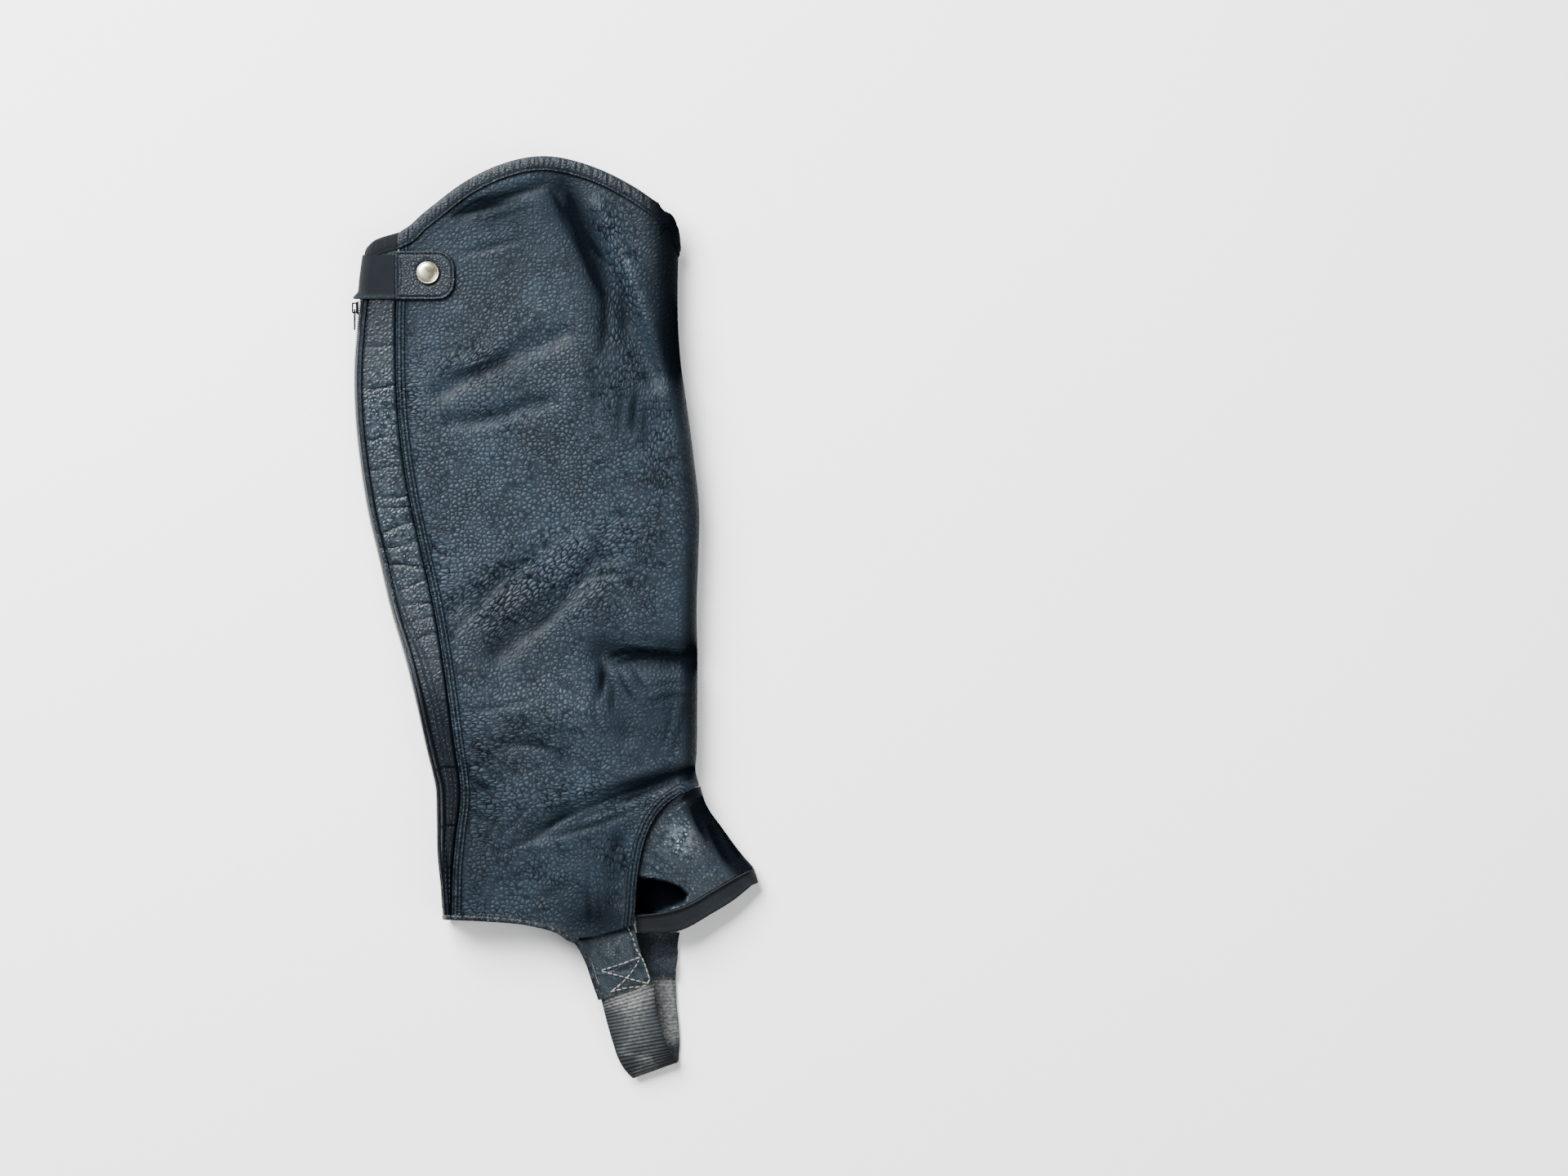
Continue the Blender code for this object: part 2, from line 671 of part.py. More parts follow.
GUSSET_LEFT_LINE = shifted(GUSSET_SEAM, -GUSSET_SEAM_SIDE)
GUSSET_FOLD = path(GUSSET_FOLD_ROWS)


def gusset_left(down):
    """The gusset's sewn edge in plan."""
    return GUSSET_LEFT_LINE(down * SEAM_END_ON_GUSSET)


def gusset_fold_radius(down):
    """How far the gusset's front fold reaches in."""
    return blend(GUSSET_FOLD_START_R, GUSSET_FOLD_END_R, ease(down))


def gusset_heading(down):
    """Direction of one row of the gusset, from its seam to its front fold."""
    ahead = GUSSET_FOLD(down) - gusset_left(down)
    return ahead / np.linalg.norm(ahead)


def gusset_inner_fold(down):
    """Where a row's flat part ends and its fold begins."""
    return GUSSET_FOLD(down) - gusset_fold_radius(down) * gusset_heading(down)


def pocket(x, y):
    """Share of the pocket's depth at a place on the gusset."""
    dx, dy = x - POCKET_CENTRE[0], y - POCKET_CENTRE[1]
    along = dx * math.cos(POCKET_TURN) - dy * math.sin(POCKET_TURN)
    aside = dx * math.sin(POCKET_TURN) + dy * math.cos(POCKET_TURN)
    reach = math.hypot(along / POCKET_REACH[0], aside / POCKET_REACH[1])
    return math.exp(-reach ** POCKET_POWER)


def gusset_fold_height(down):
    """Height of the gusset's outer face where its front fold begins."""
    start = outer_height(*leg_point(FRONT, FLAP_DIP)[:2])
    return blend(start, GUSSET_FOLD_END_H, ease(down))


def gusset_height(across, down, x, y):
    """Height of the gusset's outer face over the surface."""
    seam_x, seam_y = gusset_left(down)
    low = outer_height(seam_x, seam_y) - GUSSET_DROP * ease(down / GUSSET_DROP_END)
    level = blend(low, gusset_fold_height(down), across)
    level += GUSSET_CROWN * 4 * across * (1 - across) * ease(down)
    return max(level - POCKET_DEPTH * pocket(x, y), POCKET_FLOOR)


def gusset_row(down, plan, fold, heading, radius, sink=0.0):
    """Points of one row: over the top, round the front fold and back underneath."""
    shares = [j / GUSSET_CELLS for j in range(GUSSET_CELLS + 1)]
    flat = [plan(share) for share in shares]
    heights = [gusset_height(s, min(down, 1.0), *p) - sink * (1 - s) for s, p in zip(shares, flat)]
    upright = UPSIDE if down >= 1.0 else None
    over = [(np.array([*p, z]), upright) for p, z in zip(flat, heights)]
    start = fold - radius * heading
    half = heights[-1] / 2
    bend = []
    for k in range(1, FOLD_CELLS):
        turn = math.pi * (0.5 - k / FOLD_CELLS)
        spot = start + radius * math.cos(turn) * heading
        normal = np.array([*(math.cos(turn) * heading), math.sin(turn)])
        bend.append((np.array([*spot, half + half * math.sin(turn)]), normal))
    under = [(np.array([*p, 0.0]), UNDERSIDE) for p in reversed(flat)]
    return over + bend + under


GUSSET_FREE_EDGE = path([gusset_left(1.0)] + GUSSET_FREE_ROWS + [gusset_inner_fold(1.0)])


def gusset_plan(down):
    """Plan curve of one row of the gusset."""
    def top(share):
        return blend(gusset_left(0.0), gusset_inner_fold(0.0), share)

    def point(share):
        return coons(top, GUSSET_FREE_EDGE, gusset_left, gusset_inner_fold, share, down)
    return point


def build_gusset(finish):
    """The instep gusset: a piece folded along the front of the foot, open at its lower edge."""
    rows = []
    for i in range(GUSSET_ROWS + 1):
        down = i / GUSSET_ROWS
        rows.append(gusset_row(down, gusset_plan(down), GUSSET_FOLD(down), gusset_heading(down),
                               gusset_fold_radius(down)))
    sheet = Sheet()
    sheet.add_rows(rows)
    return sheet.wall("instep_gusset", LEATHER, finish)


def build_gusset_band(finish):
    """Elastic band along the gusset's free edge, over the top and underneath."""
    heading = gusset_heading(1.0)
    upper_fold = GUSSET_FOLD(1.0) + BAND_GAP * np.array([heading[1], -heading[0]])
    lower_fold = np.array(CONTOUR_FOLD)
    lower_start = lower_fold - GUSSET_FOLD_END_R * heading
    contour = path(CONTOUR_ROWS + [lower_start])
    upper = gusset_row(1.0, shifted(GUSSET_FREE_EDGE, BAND_GAP), upper_fold, heading, GUSSET_FOLD_END_R)
    lower = gusset_row(1.0, contour, lower_fold, heading, GUSSET_FOLD_END_R, BAND_SINK)
    middle = [(blend(a, b, 0.5), normal) for (a, normal), (b, _) in zip(upper, lower)]
    sheet = Sheet()
    sheet.add_rows([upper, middle, lower])
    return sheet.wall("gusset_binding", WEBBING, finish)


def ladder(stations, cells):
    """Rows of points from stations that give a left and a right edge and a height."""
    return [[np.array([blend(x0, x1, j / cells), blend(y0, y1, j / cells), z])
             for j in range(cells + 1)] for x0, y0, x1, y1, z in stations]


def build_stirrup(finish):
    """The elastic loop under the foot: over run, bottom fold and under run."""
    sheet = Sheet()
    sheet.add_rows(ladder(STIRRUP_LOOP, STIRRUP_CELLS))
    return sheet.wall("stirrup_elastic", WEBBING, finish)


def build_inner_tab(finish):
    """The inner stirrup tab, whose rough side shows beside the outer one."""
    sheet = Sheet()
    sheet.add_rows(ladder(INNER_TAB, STIRRUP_CELLS))
    return sheet.wall("stirrup_tab_inner", LEATHER, finish)


def build_snap_tab(finish):
    """Leather snap tab with rounded front corners, lying on the outer face."""
    middle, half = (SNAP_TOP + SNAP_BOTTOM) / 2, (SNAP_TOP - SNAP_BOTTOM) / 2
    corner = [math.radians(a) for a in SNAP_CORNER_TURNS]
    offsets = [half - SNAP_CORNER * (1 - math.cos(a)) for a in corner]
    reaches = [SNAP_CORNER * (1 - math.sin(a)) for a in corner]
    levels = list(zip(offsets, reaches)) + [(0.0, 0.0)]
    levels += [(-offset, reach) for offset, reach in reversed(levels[:-1])]
    rows = []
    for offset, reach in levels:
        row = []
        for j in range(SNAP_CELLS + 1):
            x = blend(SNAP_BACK, SNAP_FRONT - reach, j / SNAP_CELLS)
            y = middle + offset
            row.append(np.array([x, y, outer_height(x, y) + SEAM_GAP + LEATHER]))
        rows.append(row)
    sheet = Sheet()
    sheet.add_rows(rows)
    return sheet.wall("snap_tab", LEATHER, finish)


def build_snap_band(finish):
    """Elastic band from the snap tab round the back edge, over the top of the zip."""
    rows = []
    for i in range(BAND_ROWS + 1):
        y = blend(BAND_TOP, BAND_BOTTOM, ease(i / BAND_ROWS))
        width = STRIP_SEAM.x(y) - LEG.back(y) - LEG.back_r(y)
        last = STRIP + (SNAP_BACK - SEAM_GAP - LEG.back(y) - LEG.back_r(y)) / width
        lift = BAND_FLARE * ease(1.0 - (y - BAND_BOTTOM) / BAND_FLARE_REACH)
        row = []
        for girth in np.linspace(BAND_END_GIRTH, STRIP, BAND_CELLS - 1):
            flare = lift * math.exp(-((girth - BAND_FLARE_GIRTH) / BAND_FLARE_SPREAD) ** 2)
            row.append(leg_skin(girth, y, SEAM_GAP + BAND_WALL + flare))
        for girth in np.linspace(STRIP, last, 3)[1:]:
            row.append(leg_skin(girth, y, SEAM_GAP + BAND_WALL))
        rows.append(row)
    sheet = Sheet()
    sheet.add_rows(rows)
    return sheet.wall("snap_elastic", BAND_WALL, finish)


def build_snap_cap(finish):
    """The snap's domed cap, turned from its profile."""
    x, y = CAP_CENTRE
    base = outer_height(x, y) + SEAM_GAP + LEATHER + CAP_GAP
    profile = [(CAP_RADIUS, base), (CAP_RADIUS, base + CAP_EDGE)]
    for ring in range(1, CAP_RINGS + 1):
        turn = math.pi / 2 * ring / (CAP_RINGS + 1)
        profile.append((CAP_RADIUS * math.cos(turn),
                        base + CAP_EDGE + (CAP_HEIGHT - CAP_EDGE) * math.sin(turn)))
    data = bmesh.new()
    rings = []
    for radius, z in profile:
        rings.append([data.verts.new((x + radius * math.cos(2 * math.pi * k / CAP_SIDES),
                                      y + radius * math.sin(2 * math.pi * k / CAP_SIDES), z))
                      for k in range(CAP_SIDES)])
    foot = data.verts.new((x, y, base))
    crown = data.verts.new((x, y, base + CAP_HEIGHT))
    for k in range(CAP_SIDES):
        n = (k + 1) % CAP_SIDES
        data.faces.new((foot, rings[0][n], rings[0][k]))
        data.faces.new((crown, rings[-1][k], rings[-1][n]))
        for low, high in zip(rings, rings[1:]):
            data.faces.new((low[k], low[n], high[n], high[k]))
    return finish_object("snap_cap", data, finish)


def slider_face():
    """The plane that the slider's body stands on, as the X of its inner side."""
    half = SLIDER_SIZE[1] / 2
    return min(LEG.back(SLIDER_Y - half), LEG.back(SLIDER_Y + half)) - SEAM_GAP


def pivot_point():
    """Centre of the pull's end bar inside the crown."""
    x = slider_face() - SLIDER_SIZE[0] - PIVOT_RISE
    return x, SLIDER_Y - PIVOT_DROP, LEG.back_h(SLIDER_Y) / 2


def prism(outline, depth, centre_z):
    """Outline in the XY plane, given anticlockwise, raised to a depth about a level."""
    data = bmesh.new()
    base = data.faces.new([data.verts.new((x, y, centre_z - depth / 2)) for x, y in outline])
    raised = bmesh.ops.extrude_face_region(data, geom=[base])
    moved = [g for g in raised["geom"] if isinstance(g, bmesh.types.BMVert)]
    bmesh.ops.translate(data, verts=moved, vec=(0, 0, depth))
    bmesh.ops.recalc_face_normals(data, faces=data.faces)
    return data


def build_slider(finish):
    """Slider body with the crown that holds the pull, joined into one piece."""
    face, z = slider_face(), LEG.back_h(SLIDER_Y) / 2
    body_x, length, width = SLIDER_SIZE
    outer = face - body_x
    half = length / 2
    waist = [(face, SLIDER_Y - half), (face, SLIDER_Y + half), (outer, SLIDER_Y + half - SLIDER_BEVEL),
             (outer, SLIDER_Y - half + SLIDER_BEVEL)]
    body = finish_object("zip_slider", prism(waist, width, z), finish)
    rise, reach, thick = CROWN_SIZE
    near, far = SLIDER_Y - reach / 2, SLIDER_Y + reach / 2
    sunk, top = outer + CROWN_SINK, outer - rise
    arch = [(sunk, near), (sunk, near + CROWN_WALL), (top + CROWN_WALL, near + CROWN_WALL),
            (top + CROWN_WALL, far - CROWN_WALL), (sunk, far - CROWN_WALL), (sunk, far),
            (top + CROWN_CORNER, far), (top, far - CROWN_CORNER), (top, near + CROWN_CORNER),
            (top + CROWN_CORNER, near)]
    crown = finish_object("crown_shape", prism(arch, thick, z), finish)
    crown.hide_render = True
    crown.display_type = "WIRE"
    joined = body.modifiers.new("crown", "BOOLEAN")
    joined.operation = "UNION"
    joined.object = crown
    return body


def build_pull(finish):
    """Pull tab with an eye at its upper end, hung on the crown by its end bar."""
    pivot_x, pivot_y, z = pivot_point()
    half_wall = PULL_WALL / 2
    top, tip = pivot_y + half_wall, pivot_y - PULL_LENGTH
    eye_top = pivot_y - half_wall
    eye_low = eye_top - PULL_EYE[0]
    half, tip_half = PULL_WIDTH / 2, PULL_TIP_WIDTH / 2
    eye = PULL_EYE[1] / 2
    data = bmesh.new()
    rise, inset = PULL_TIP_CORNER
    outer = [(top, -half), (eye_top, -half), (eye_low, -half), (tip + rise, -tip_half),
             (tip, -tip_half + inset), (tip, tip_half - inset), (tip + rise, tip_half),
             (eye_low, half), (eye_top, half), (top, half)]
    window = [(eye_top, -eye), (eye_low, -eye), (eye_low, eye), (eye_top, eye)]
    left = [data.verts.new((pivot_x - half_wall, y, z + across)) for y, across in outer]
    hole = [data.verts.new((pivot_x - half_wall, y, z + across)) for y, across in window]
    loops = [(left[0], left[1], hole[0], hole[3], left[8], left[9]),
             (left[1], left[2], hole[1], hole[0]),
             (left[2], left[3], left[4], left[5], left[6], left[7], hole[2], hole[1]),
             (left[7], left[8], hole[3], hole[2])]
    faces = [data.faces.new(loop) for loop in loops]
    raised = bmesh.ops.extrude_face_region(data, geom=faces)
    moved = [g for g in raised["geom"] if isinstance(g, bmesh.types.BMVert)]
    bmesh.ops.translate(data, verts=moved, vec=(PULL_WALL, 0, 0))
    bmesh.ops.recalc_face_normals(data, faces=data.faces)
    return finish_object("zip_pull", data, finish, origin=(pivot_x, pivot_y, z))


def build():
    """Clears the scene and makes every piece."""
    for item in list(bpy.data.objects):
        bpy.data.objects.remove(item)
    pebbled = (0.075, 0.095, 0.125)
    smooth = (0.060, 0.075, 0.098)
    dark = (0.018, 0.021, 0.026)
    build_body_panel(material("pebbled_leather", pebbled, 0.55))
    build_back_strip(material("smooth_strip_leather", smooth, 0.38))
    build_gusset(material("smooth_gusset_leather", smooth, 0.36))
    build_gusset_band(material("gusset_webbing", (0.030, 0.034, 0.040), 0.8))
    binding = material("binding_leather", pebbled, 0.5)
    top_trim("top_binding", panel_girths, BINDING_WIDTH, binding)
    textile = material("strip_binding_webbing", dark, 0.85)
    top_trim("strip_binding", back_girths, STRIP_BINDING_WIDTH, textile)
    build_outer_hem(material("hem_leather", dark, 0.55))
    build_inner_hem(material("inner_hem_leather", dark, 0.6))
    build_zip(material("zip_tape", dark, 0.8))
    metal = material("slider_metal", (0.42, 0.41, 0.38), 0.35, 1.0)
    build_slider(metal)
    build_pull(material("pull_metal", (0.55, 0.54, 0.50), 0.3, 1.0))
    build_outer_tab(material("tab_leather", smooth, 0.42))
    build_inner_tab(material("rough_leather", (0.050, 0.060, 0.072), 0.9))
    build_stirrup(material("ribbed_elastic", (0.11, 0.12, 0.13), 0.8))
    build_snap_tab(material("snap_tab_leather", smooth, 0.5))
    build_snap_band(material("band_elastic", (0.022, 0.026, 0.032), 0.75))
    build_snap_cap(material("cap_metal", (0.72, 0.70, 0.58), 0.25, 1.0))


build()
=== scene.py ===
"""Looks of one leather half chap that lies flat with its outer side up.

Frame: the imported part's, in metres, X towards the toe, Y up the leg, Z up from the floor.
Tables and named sizes are millimetres.
"""

import json
import logging
import math
from dataclasses import dataclass
from enum import Enum
from typing import Callable, Iterator, Sequence

import bpy
import numpy as np
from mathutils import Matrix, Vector

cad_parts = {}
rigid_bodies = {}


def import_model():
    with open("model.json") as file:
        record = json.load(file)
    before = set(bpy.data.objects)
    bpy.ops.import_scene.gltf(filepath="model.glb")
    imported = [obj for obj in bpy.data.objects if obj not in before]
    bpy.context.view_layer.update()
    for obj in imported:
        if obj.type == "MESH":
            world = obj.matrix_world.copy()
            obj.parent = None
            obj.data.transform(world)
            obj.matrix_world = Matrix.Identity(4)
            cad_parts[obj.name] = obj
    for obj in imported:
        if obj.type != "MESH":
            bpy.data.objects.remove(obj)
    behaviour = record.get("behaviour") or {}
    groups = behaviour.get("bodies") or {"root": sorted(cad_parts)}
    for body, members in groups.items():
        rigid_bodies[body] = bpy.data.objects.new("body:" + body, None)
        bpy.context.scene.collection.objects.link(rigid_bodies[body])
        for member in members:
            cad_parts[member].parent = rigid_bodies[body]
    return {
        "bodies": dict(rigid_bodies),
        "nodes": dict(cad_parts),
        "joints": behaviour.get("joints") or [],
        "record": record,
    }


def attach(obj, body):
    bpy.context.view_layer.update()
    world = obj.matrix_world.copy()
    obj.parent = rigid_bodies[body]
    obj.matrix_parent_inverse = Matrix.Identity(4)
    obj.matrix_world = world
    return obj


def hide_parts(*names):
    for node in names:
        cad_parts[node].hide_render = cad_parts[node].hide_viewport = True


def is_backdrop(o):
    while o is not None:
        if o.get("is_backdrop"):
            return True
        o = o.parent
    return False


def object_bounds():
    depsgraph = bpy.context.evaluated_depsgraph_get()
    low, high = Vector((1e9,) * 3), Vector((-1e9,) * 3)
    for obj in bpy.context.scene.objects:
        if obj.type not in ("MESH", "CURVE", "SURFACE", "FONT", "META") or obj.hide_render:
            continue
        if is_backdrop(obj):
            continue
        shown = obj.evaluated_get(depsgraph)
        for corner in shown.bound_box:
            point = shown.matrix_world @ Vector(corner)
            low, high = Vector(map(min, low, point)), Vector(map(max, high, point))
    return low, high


LOG = logging.getLogger("half_chap")
MM = 0.001
Array = np.ndarray
Line = Look = Callable[[Array], Array]
Piece = bpy.types.Object

# Walls, seams and trims
LEATHER, WEBBING, BAND_WALL = 2.0, 1.6, 1.4
SEAM_GAP, HALF_GAP, TUCK = 0.3, 0.15, 0.9
BINDING_WIDTH, STRIP_BINDING_WIDTH, HEM_WIDTH = 8.6, 9.5, 3.0
BINDING_STATIONS = (0.0, 0.06, 0.16, 0.3, 0.45, 0.6, 0.72, 0.8, 0.87, 0.94, 1.0)
ZIP_HALF_WIDTH = 3.0
CURVE_STEP, TRIM_STEP = 0.01, 0.02
FRONT, UNDER, BACK, STRIP, ROUND = 1.0, 2.0, 3.0, 4.0, 5.0
ZIP_GIRTH, TAPE_WALL, ZIP_STITCH_TURNS = 3.5, 1.5, (113.0, 88.0)
COIL_TOP, COIL_PITCH, COIL_REACH, COIL_THREAD = 214.0, 1.3, 1.15, (0.42, 0.38)

LEG_NAMES = "y back front back_h mid_h front_h back_r front_r"
LEG_ROWS = [
    (271, -110.5, 71.8, 10.5, 15, 19, 5, 11.5),
    (219, -111.5, 71.8, 10.8, 16, 21, 5, 11.5),
    (197, -114.3, 71.4, 11, 16.5, 22, 5, 11.5),
    (184, -115.3, 71.3, 11, 17, 22.5, 5, 11.5),
    (168.5, -116.9, 71.7, 11, 17.5, 23, 5, 11.5),
    (149, -118.4, 73.2, 11, 18.5, 23, 5, 11.5),
    (120.5, -118, 77.3, 11.5, 19, 23, 5, 11),
    (92, -115.2, 81, 12, 19, 22.5, 5.2, 11),
    (63, -110.6, 84, 12.5, 19, 22, 5.5, 11),
    (34, -103.8, 83.4, 14, 19.5, 21.5, 6.5, 10.5),
    (5, -97, 82.5, 16, 20, 21, 8.5, 10.5),
    (-23.5, -88.6, 82.9, 19, 21, 20.5, 12.5, 10.5),
    (-52, -81.5, 82.8, 21.5, 22.5, 20, 14, 10.5),
    (-81, -74.9, 82.4, 23.5, 23.5, 20, 13, 10.5),
    (-90, -72.6, 81.8, 24, 23.8, 20, 12.6, 10.5),
    (-98, -70.8, 83.8, 24.5, 24, 20, 12, 11),
    (-117, -69.9, 83.8, 25, 24, 20, 10.5, 11),
    (-139, -69.4, 83.8, 25, 23.5, 20, 7.5, 11),
    (-160, -67.4, 83.8, 24, 22.5, 20, 5.2, 11),
    (-178, -66.3, 83.8, 23, 22, 20, 4.4, 11),
]
STRIP_SEAM_ROWS = [
    (271, -92.4), (219, -92.4), (171, -94.3), (113, -92.4), (75, -87.1),
    (46, -80.9), (8, -72.2), (-31, -65.5), (-69, -60.2), (-107, -55.9),
    (-127, -58.3), (-146, -60.2), (-170, -61),
]
TOP_EDGE_ROWS = [
    (0.00, 226), (0.04, 230), (0.09, 237), (0.134, 242.3), (0.228, 253.2),
    (0.384, 265.4), (0.556, 270.6), (0.728, 265.4), (0.916, 251.5), (1.00, 242.9),
    (1.25, 235.5), (1.5, 224.6), (1.75, 218.5), (2.00, 215), (2.5, 210),
    (3.00, 214), (3.5, 217.5), (4.00, 221.5), (5.00, 226),
]
FLAP_TOP, FLAP_DIP, FOLD_RISE, DIP_START = -96.5, -103.7, 4.9, 0.85
BACK_HEM = -173.9
GUSSET_SEAM_ROWS = [
    (64.1, -110.4), (58.3, -117.6), (52.3, -131), (49, -145.9), (47.5, -158.4),
    (46.6, -172.8), (45.8, -180),
]
OUTER_HEM_ROWS = [
    (-60.9, -173.9), (-39.1, -174.9), (-15.1, -177.3), (2.4, -182.2), (10.8, -187.2),
    (20.4, -187), (33, -183.8), (45.8, -180),
]
INNER_HEM_ROWS = [
    (45.8, -181.4), (28.1, -181), (8.9, -180), (-15.1, -176.6), (-39.1, -174.6),
    (-61.9, -173.9),
]
HEM_TURN = 0.66

# Large folds: start, bend and end in plan, half width and rise
FOLD_ROWS = [
    (25, 240, 50, 197, 68, 131, 6.5, 2.6),
    (4, 250, 27, 204, 59, 142, 8, -3),
    (4, 166, -29, 152, -68, 132, 6, -1.6),
    (-5, 126, -34, 118, -60, 115, 5, -1.2),
    (-15, 32, -39, 17, -58, 5, 6, -1.5),
    (26, 32, -5, 5, -34, -21, 7.5, -2.2),
    (28, -21, 52, -25, 79, -24, 8, -4),
    (28, -36, 37, -45, 42, -69, 6, -1.6),
    (80, -89, 27, -112, -12, -126, 5, -2),
    (-20, -55, 0, -60, 20, -62, 13, 1.6),
    (37, -131, 36, -148, 35, -165, 4.5, -1.4),
    (-55, 236, -30, 246, -8, 254, 4, -1.2),
]

# Fine creases of the outer face, in the same columns
CREASE_ROWS = [
    (7.2, 249.5, 14, 215.9, 27.4, 188.9, 2.2, -0.9), (-3.5, 252.2, 4.5, 232, 15.3, 213.2, 1.6, -0.55),
    (0.5, 245.5, 19.3, 219.9, 31.5, 206.4, 1.8, -0.6),
    (27.4, 188.9, 30.1, 168.7, 24.7, 152.6, 2.6, -0.8),
    (38.2, 201.1, 40.9, 174.1, 39.5, 151.2, 2.4, -0.8),
    (-56.1, 241.2, -33.2, 246.2, -6.2, 253.9, 1.8, -1.1),
    (-62.8, 235.4, -45.3, 239.8, -21.1, 245.2, 1.6, -0.9),
    (-45.3, 232, -26.4, 236.1, -13, 241.2, 1.5, -0.5),
    (-56.1, 213.2, -37.2, 217.2, -18.4, 222.9, 1.8, -0.8),
    (-26.4, 155.3, -42.6, 143.8, -64.2, 140.2, 3.2, -1.1),
    (-34.5, 149.9, -45.3, 146.5, -56.1, 147.2, 2.2, 0.8),
    (-18.4, 124.3, -39.9, 115.5, -57.4, 112.8, 3, -1),
    (-4.9, 174.1, -18.4, 163.3, -26.4, 158, 2.6, -0.7), (14, 158, 25.4, 141.8, 23.4, 117.6, 2.2, -0.8),
    (47.6, 133.7, 44.3, 120.3, 44.9, 106.8, 1.8, -0.9), (53, 124.3, 51, 110.8, 53, 97.4, 1.7, -0.7),
    (36.9, 136.4, 39.5, 121.6, 35.5, 106.8, 1.7, -0.6),
    (65.8, 160.7, 67.8, 155.3, 69.2, 147.2, 1.6, -0.8),
    (-61.5, 182.2, -48, 174.1, -37.2, 162, 2.4, 0.6),
    (-76.3, 155.3, -61.5, 159.3, -45.3, 155.3, 2.2, -0.5),
    (34.2, 58.9, 43.6, 59.2, 53, 57.1, 1.5, -0.9), (31.5, 53.5, 24.7, 41.4, 16.7, 26.6, 2.6, -0.9),
    (7.2, 21.2, 30.1, 26.8, 49, 25, 1.7, -0.9), (4.5, 9.1, -6.2, -1.7, -15.7, -9.8, 3, -1.1),
    (11.3, 21.2, 0.5, 9.1, -6.2, 3.7, 2.2, 0.6), (-31.8, 22.5, -41.3, 11.8, -50.7, 1, 3, -1),
    (-45.3, 9.1, -53.4, -1.7, -61.5, -12.5, 2.4, -0.6),
    (31.5, -23.3, 43.6, -16.3, 77.3, -23.5, 1.5, -1.5), (34.2, -27.3, 49, -19.9, 77.3, -26.2, 1.3, -1),
    (40.9, -15.9, 58.4, -18.1, 75.9, -19.5, 1.6, 1.1), (26.1, -26, 28.8, -36.7, 24.7, -48.9, 2.6, -1.6),
    (36.9, -31.3, 39.5, -40.8, 47.6, -50.2, 1.6, -1),
    (31.5, -32.7, 34.2, -44.8, 32.8, -55.6, 1.6, -0.9), (44.9, -30, 49, -36.7, 54.4, -44.8, 1.5, -0.8),
    (22, -47.5, 22, -58.3, 26.1, -66.4, 1.9, -0.8), (-2.2, -37.4, 11.9, -40.8, 14, -52.2, 1.5, -0.9),
    (4.5, -36.7, 15.3, -43.5, 19.3, -51.5, 1.4, -0.5),
    (-57.4, -54.5, -34.5, -54.9, -6.2, -45.5, 1.5, -0.8),
    (-53.4, -58.3, -45.3, -65, -48, -74.4, 1.6, -0.6),
    (-37.2, -77.1, -21.1, -67.7, 8.6, -81.8, 1.7, -0.9),
    (-39.9, -82.5, -27.8, -73.1, -4.9, -78.5, 1.5, -0.6),
    (-45.3, -77.1, -39.9, -90.6, -26.4, -100, 1.9, -0.8),
    (-27.8, -74.4, -7.6, -71.7, 14, -89.3, 1.5, -0.6),
    (54.4, -50.2, 65.1, -45.5, 77.3, -45.1, 1.5, -0.8),
    (55.7, -40.8, 65.1, -36.7, 75.9, -38.8, 1.4, -0.6),
    (74.6, -48.9, 73.2, -66.4, 67.8, -81.2, 1.8, -0.7),
    (67.8, -51.5, 66.5, -67.7, 59.8, -79.8, 1.6, -0.6), (80, -89.3, 54.4, -91.3, 14, -108.1, 2.4, -1.8),
    (78.6, -94.6, 58.4, -97.3, 38.2, -106.8, 1.9, -1.2),
    (14, -108.1, 4.5, -113.5, -4.9, -116.2, 2.4, -1.2),
    (-53.4, -89.3, -45.3, -96, -34.5, -106.8, 2.2, -0.8),
    (78.6, -90.8, 45.7, -98.7, 11.5, -114.5, 1.7, -1.3),
    (79.9, -94.1, 49.6, -104.6, 19.4, -115.2, 1.5, -1),
    (11.5, -114.5, 2.3, -118.5, -9.6, -124.4, 2, -1.3),
    (45.7, -112.5, 24.6, -122.4, -16.1, -131, 1.9, -1.2),
    (40.4, -108.6, 19.4, -112.5, 1, -121.8, 1.5, 0.9),
    (-16.1, -108.6, -20.1, -119.1, -29.3, -124.4, 1.8, -0.7),
    (-1.7, -122.4, -20.1, -132.9, -34.6, -138.2, 1.8, -0.8),
    (-29.3, -112.5, -39.8, -124.4, -41.1, -137.5, 1.8, -0.6),
    (31.2, -132.3, 27.9, -148.1, 31.2, -169.1, 1.8, -0.45),
    (40.4, -128.3, 38.5, -148.1, 43.7, -173.1, 1.8, -0.45),
    (36.5, -121.8, 33.2, -142.8, 35.8, -163.9, 1.8, -0.4),
    (24.6, -131, 24, -148.1, 26, -174.4, 1.9, -0.4), (19.4, -142.8, 18.1, -158.6, 20, -177, 1.8, -0.6),
    (34.5, -137.5, 32.5, -153.3, 37.8, -177, 1.6, 0.35),
    (12.8, -153.3, 1, -161.2, -10.9, -163.9, 2.4, -0.6),
    (-33.2, -153.3, -37.2, -161.2, -39.8, -171.8, 1.8, -0.6),
    (-24, -142.8, -12.2, -137.5, 1, -137.5, 2, -0.5),
    (-53, -92.8, -43.8, -99.4, -29.3, -103.3, 1.8, -0.7),
    (-55.6, -100.7, -46.4, -108.6, -30.6, -112.5, 1.6, -0.6),
    (-51.7, -112.5, -41.1, -120.4, -28, -121.8, 1.7, -0.6),
]
CREASE_STEPS = 8
CREASE_ROOM = 3.6
CREASE_GAIN, CREASE_SPREAD, CREASE_LIP = 0.7, 1.15, 0.16

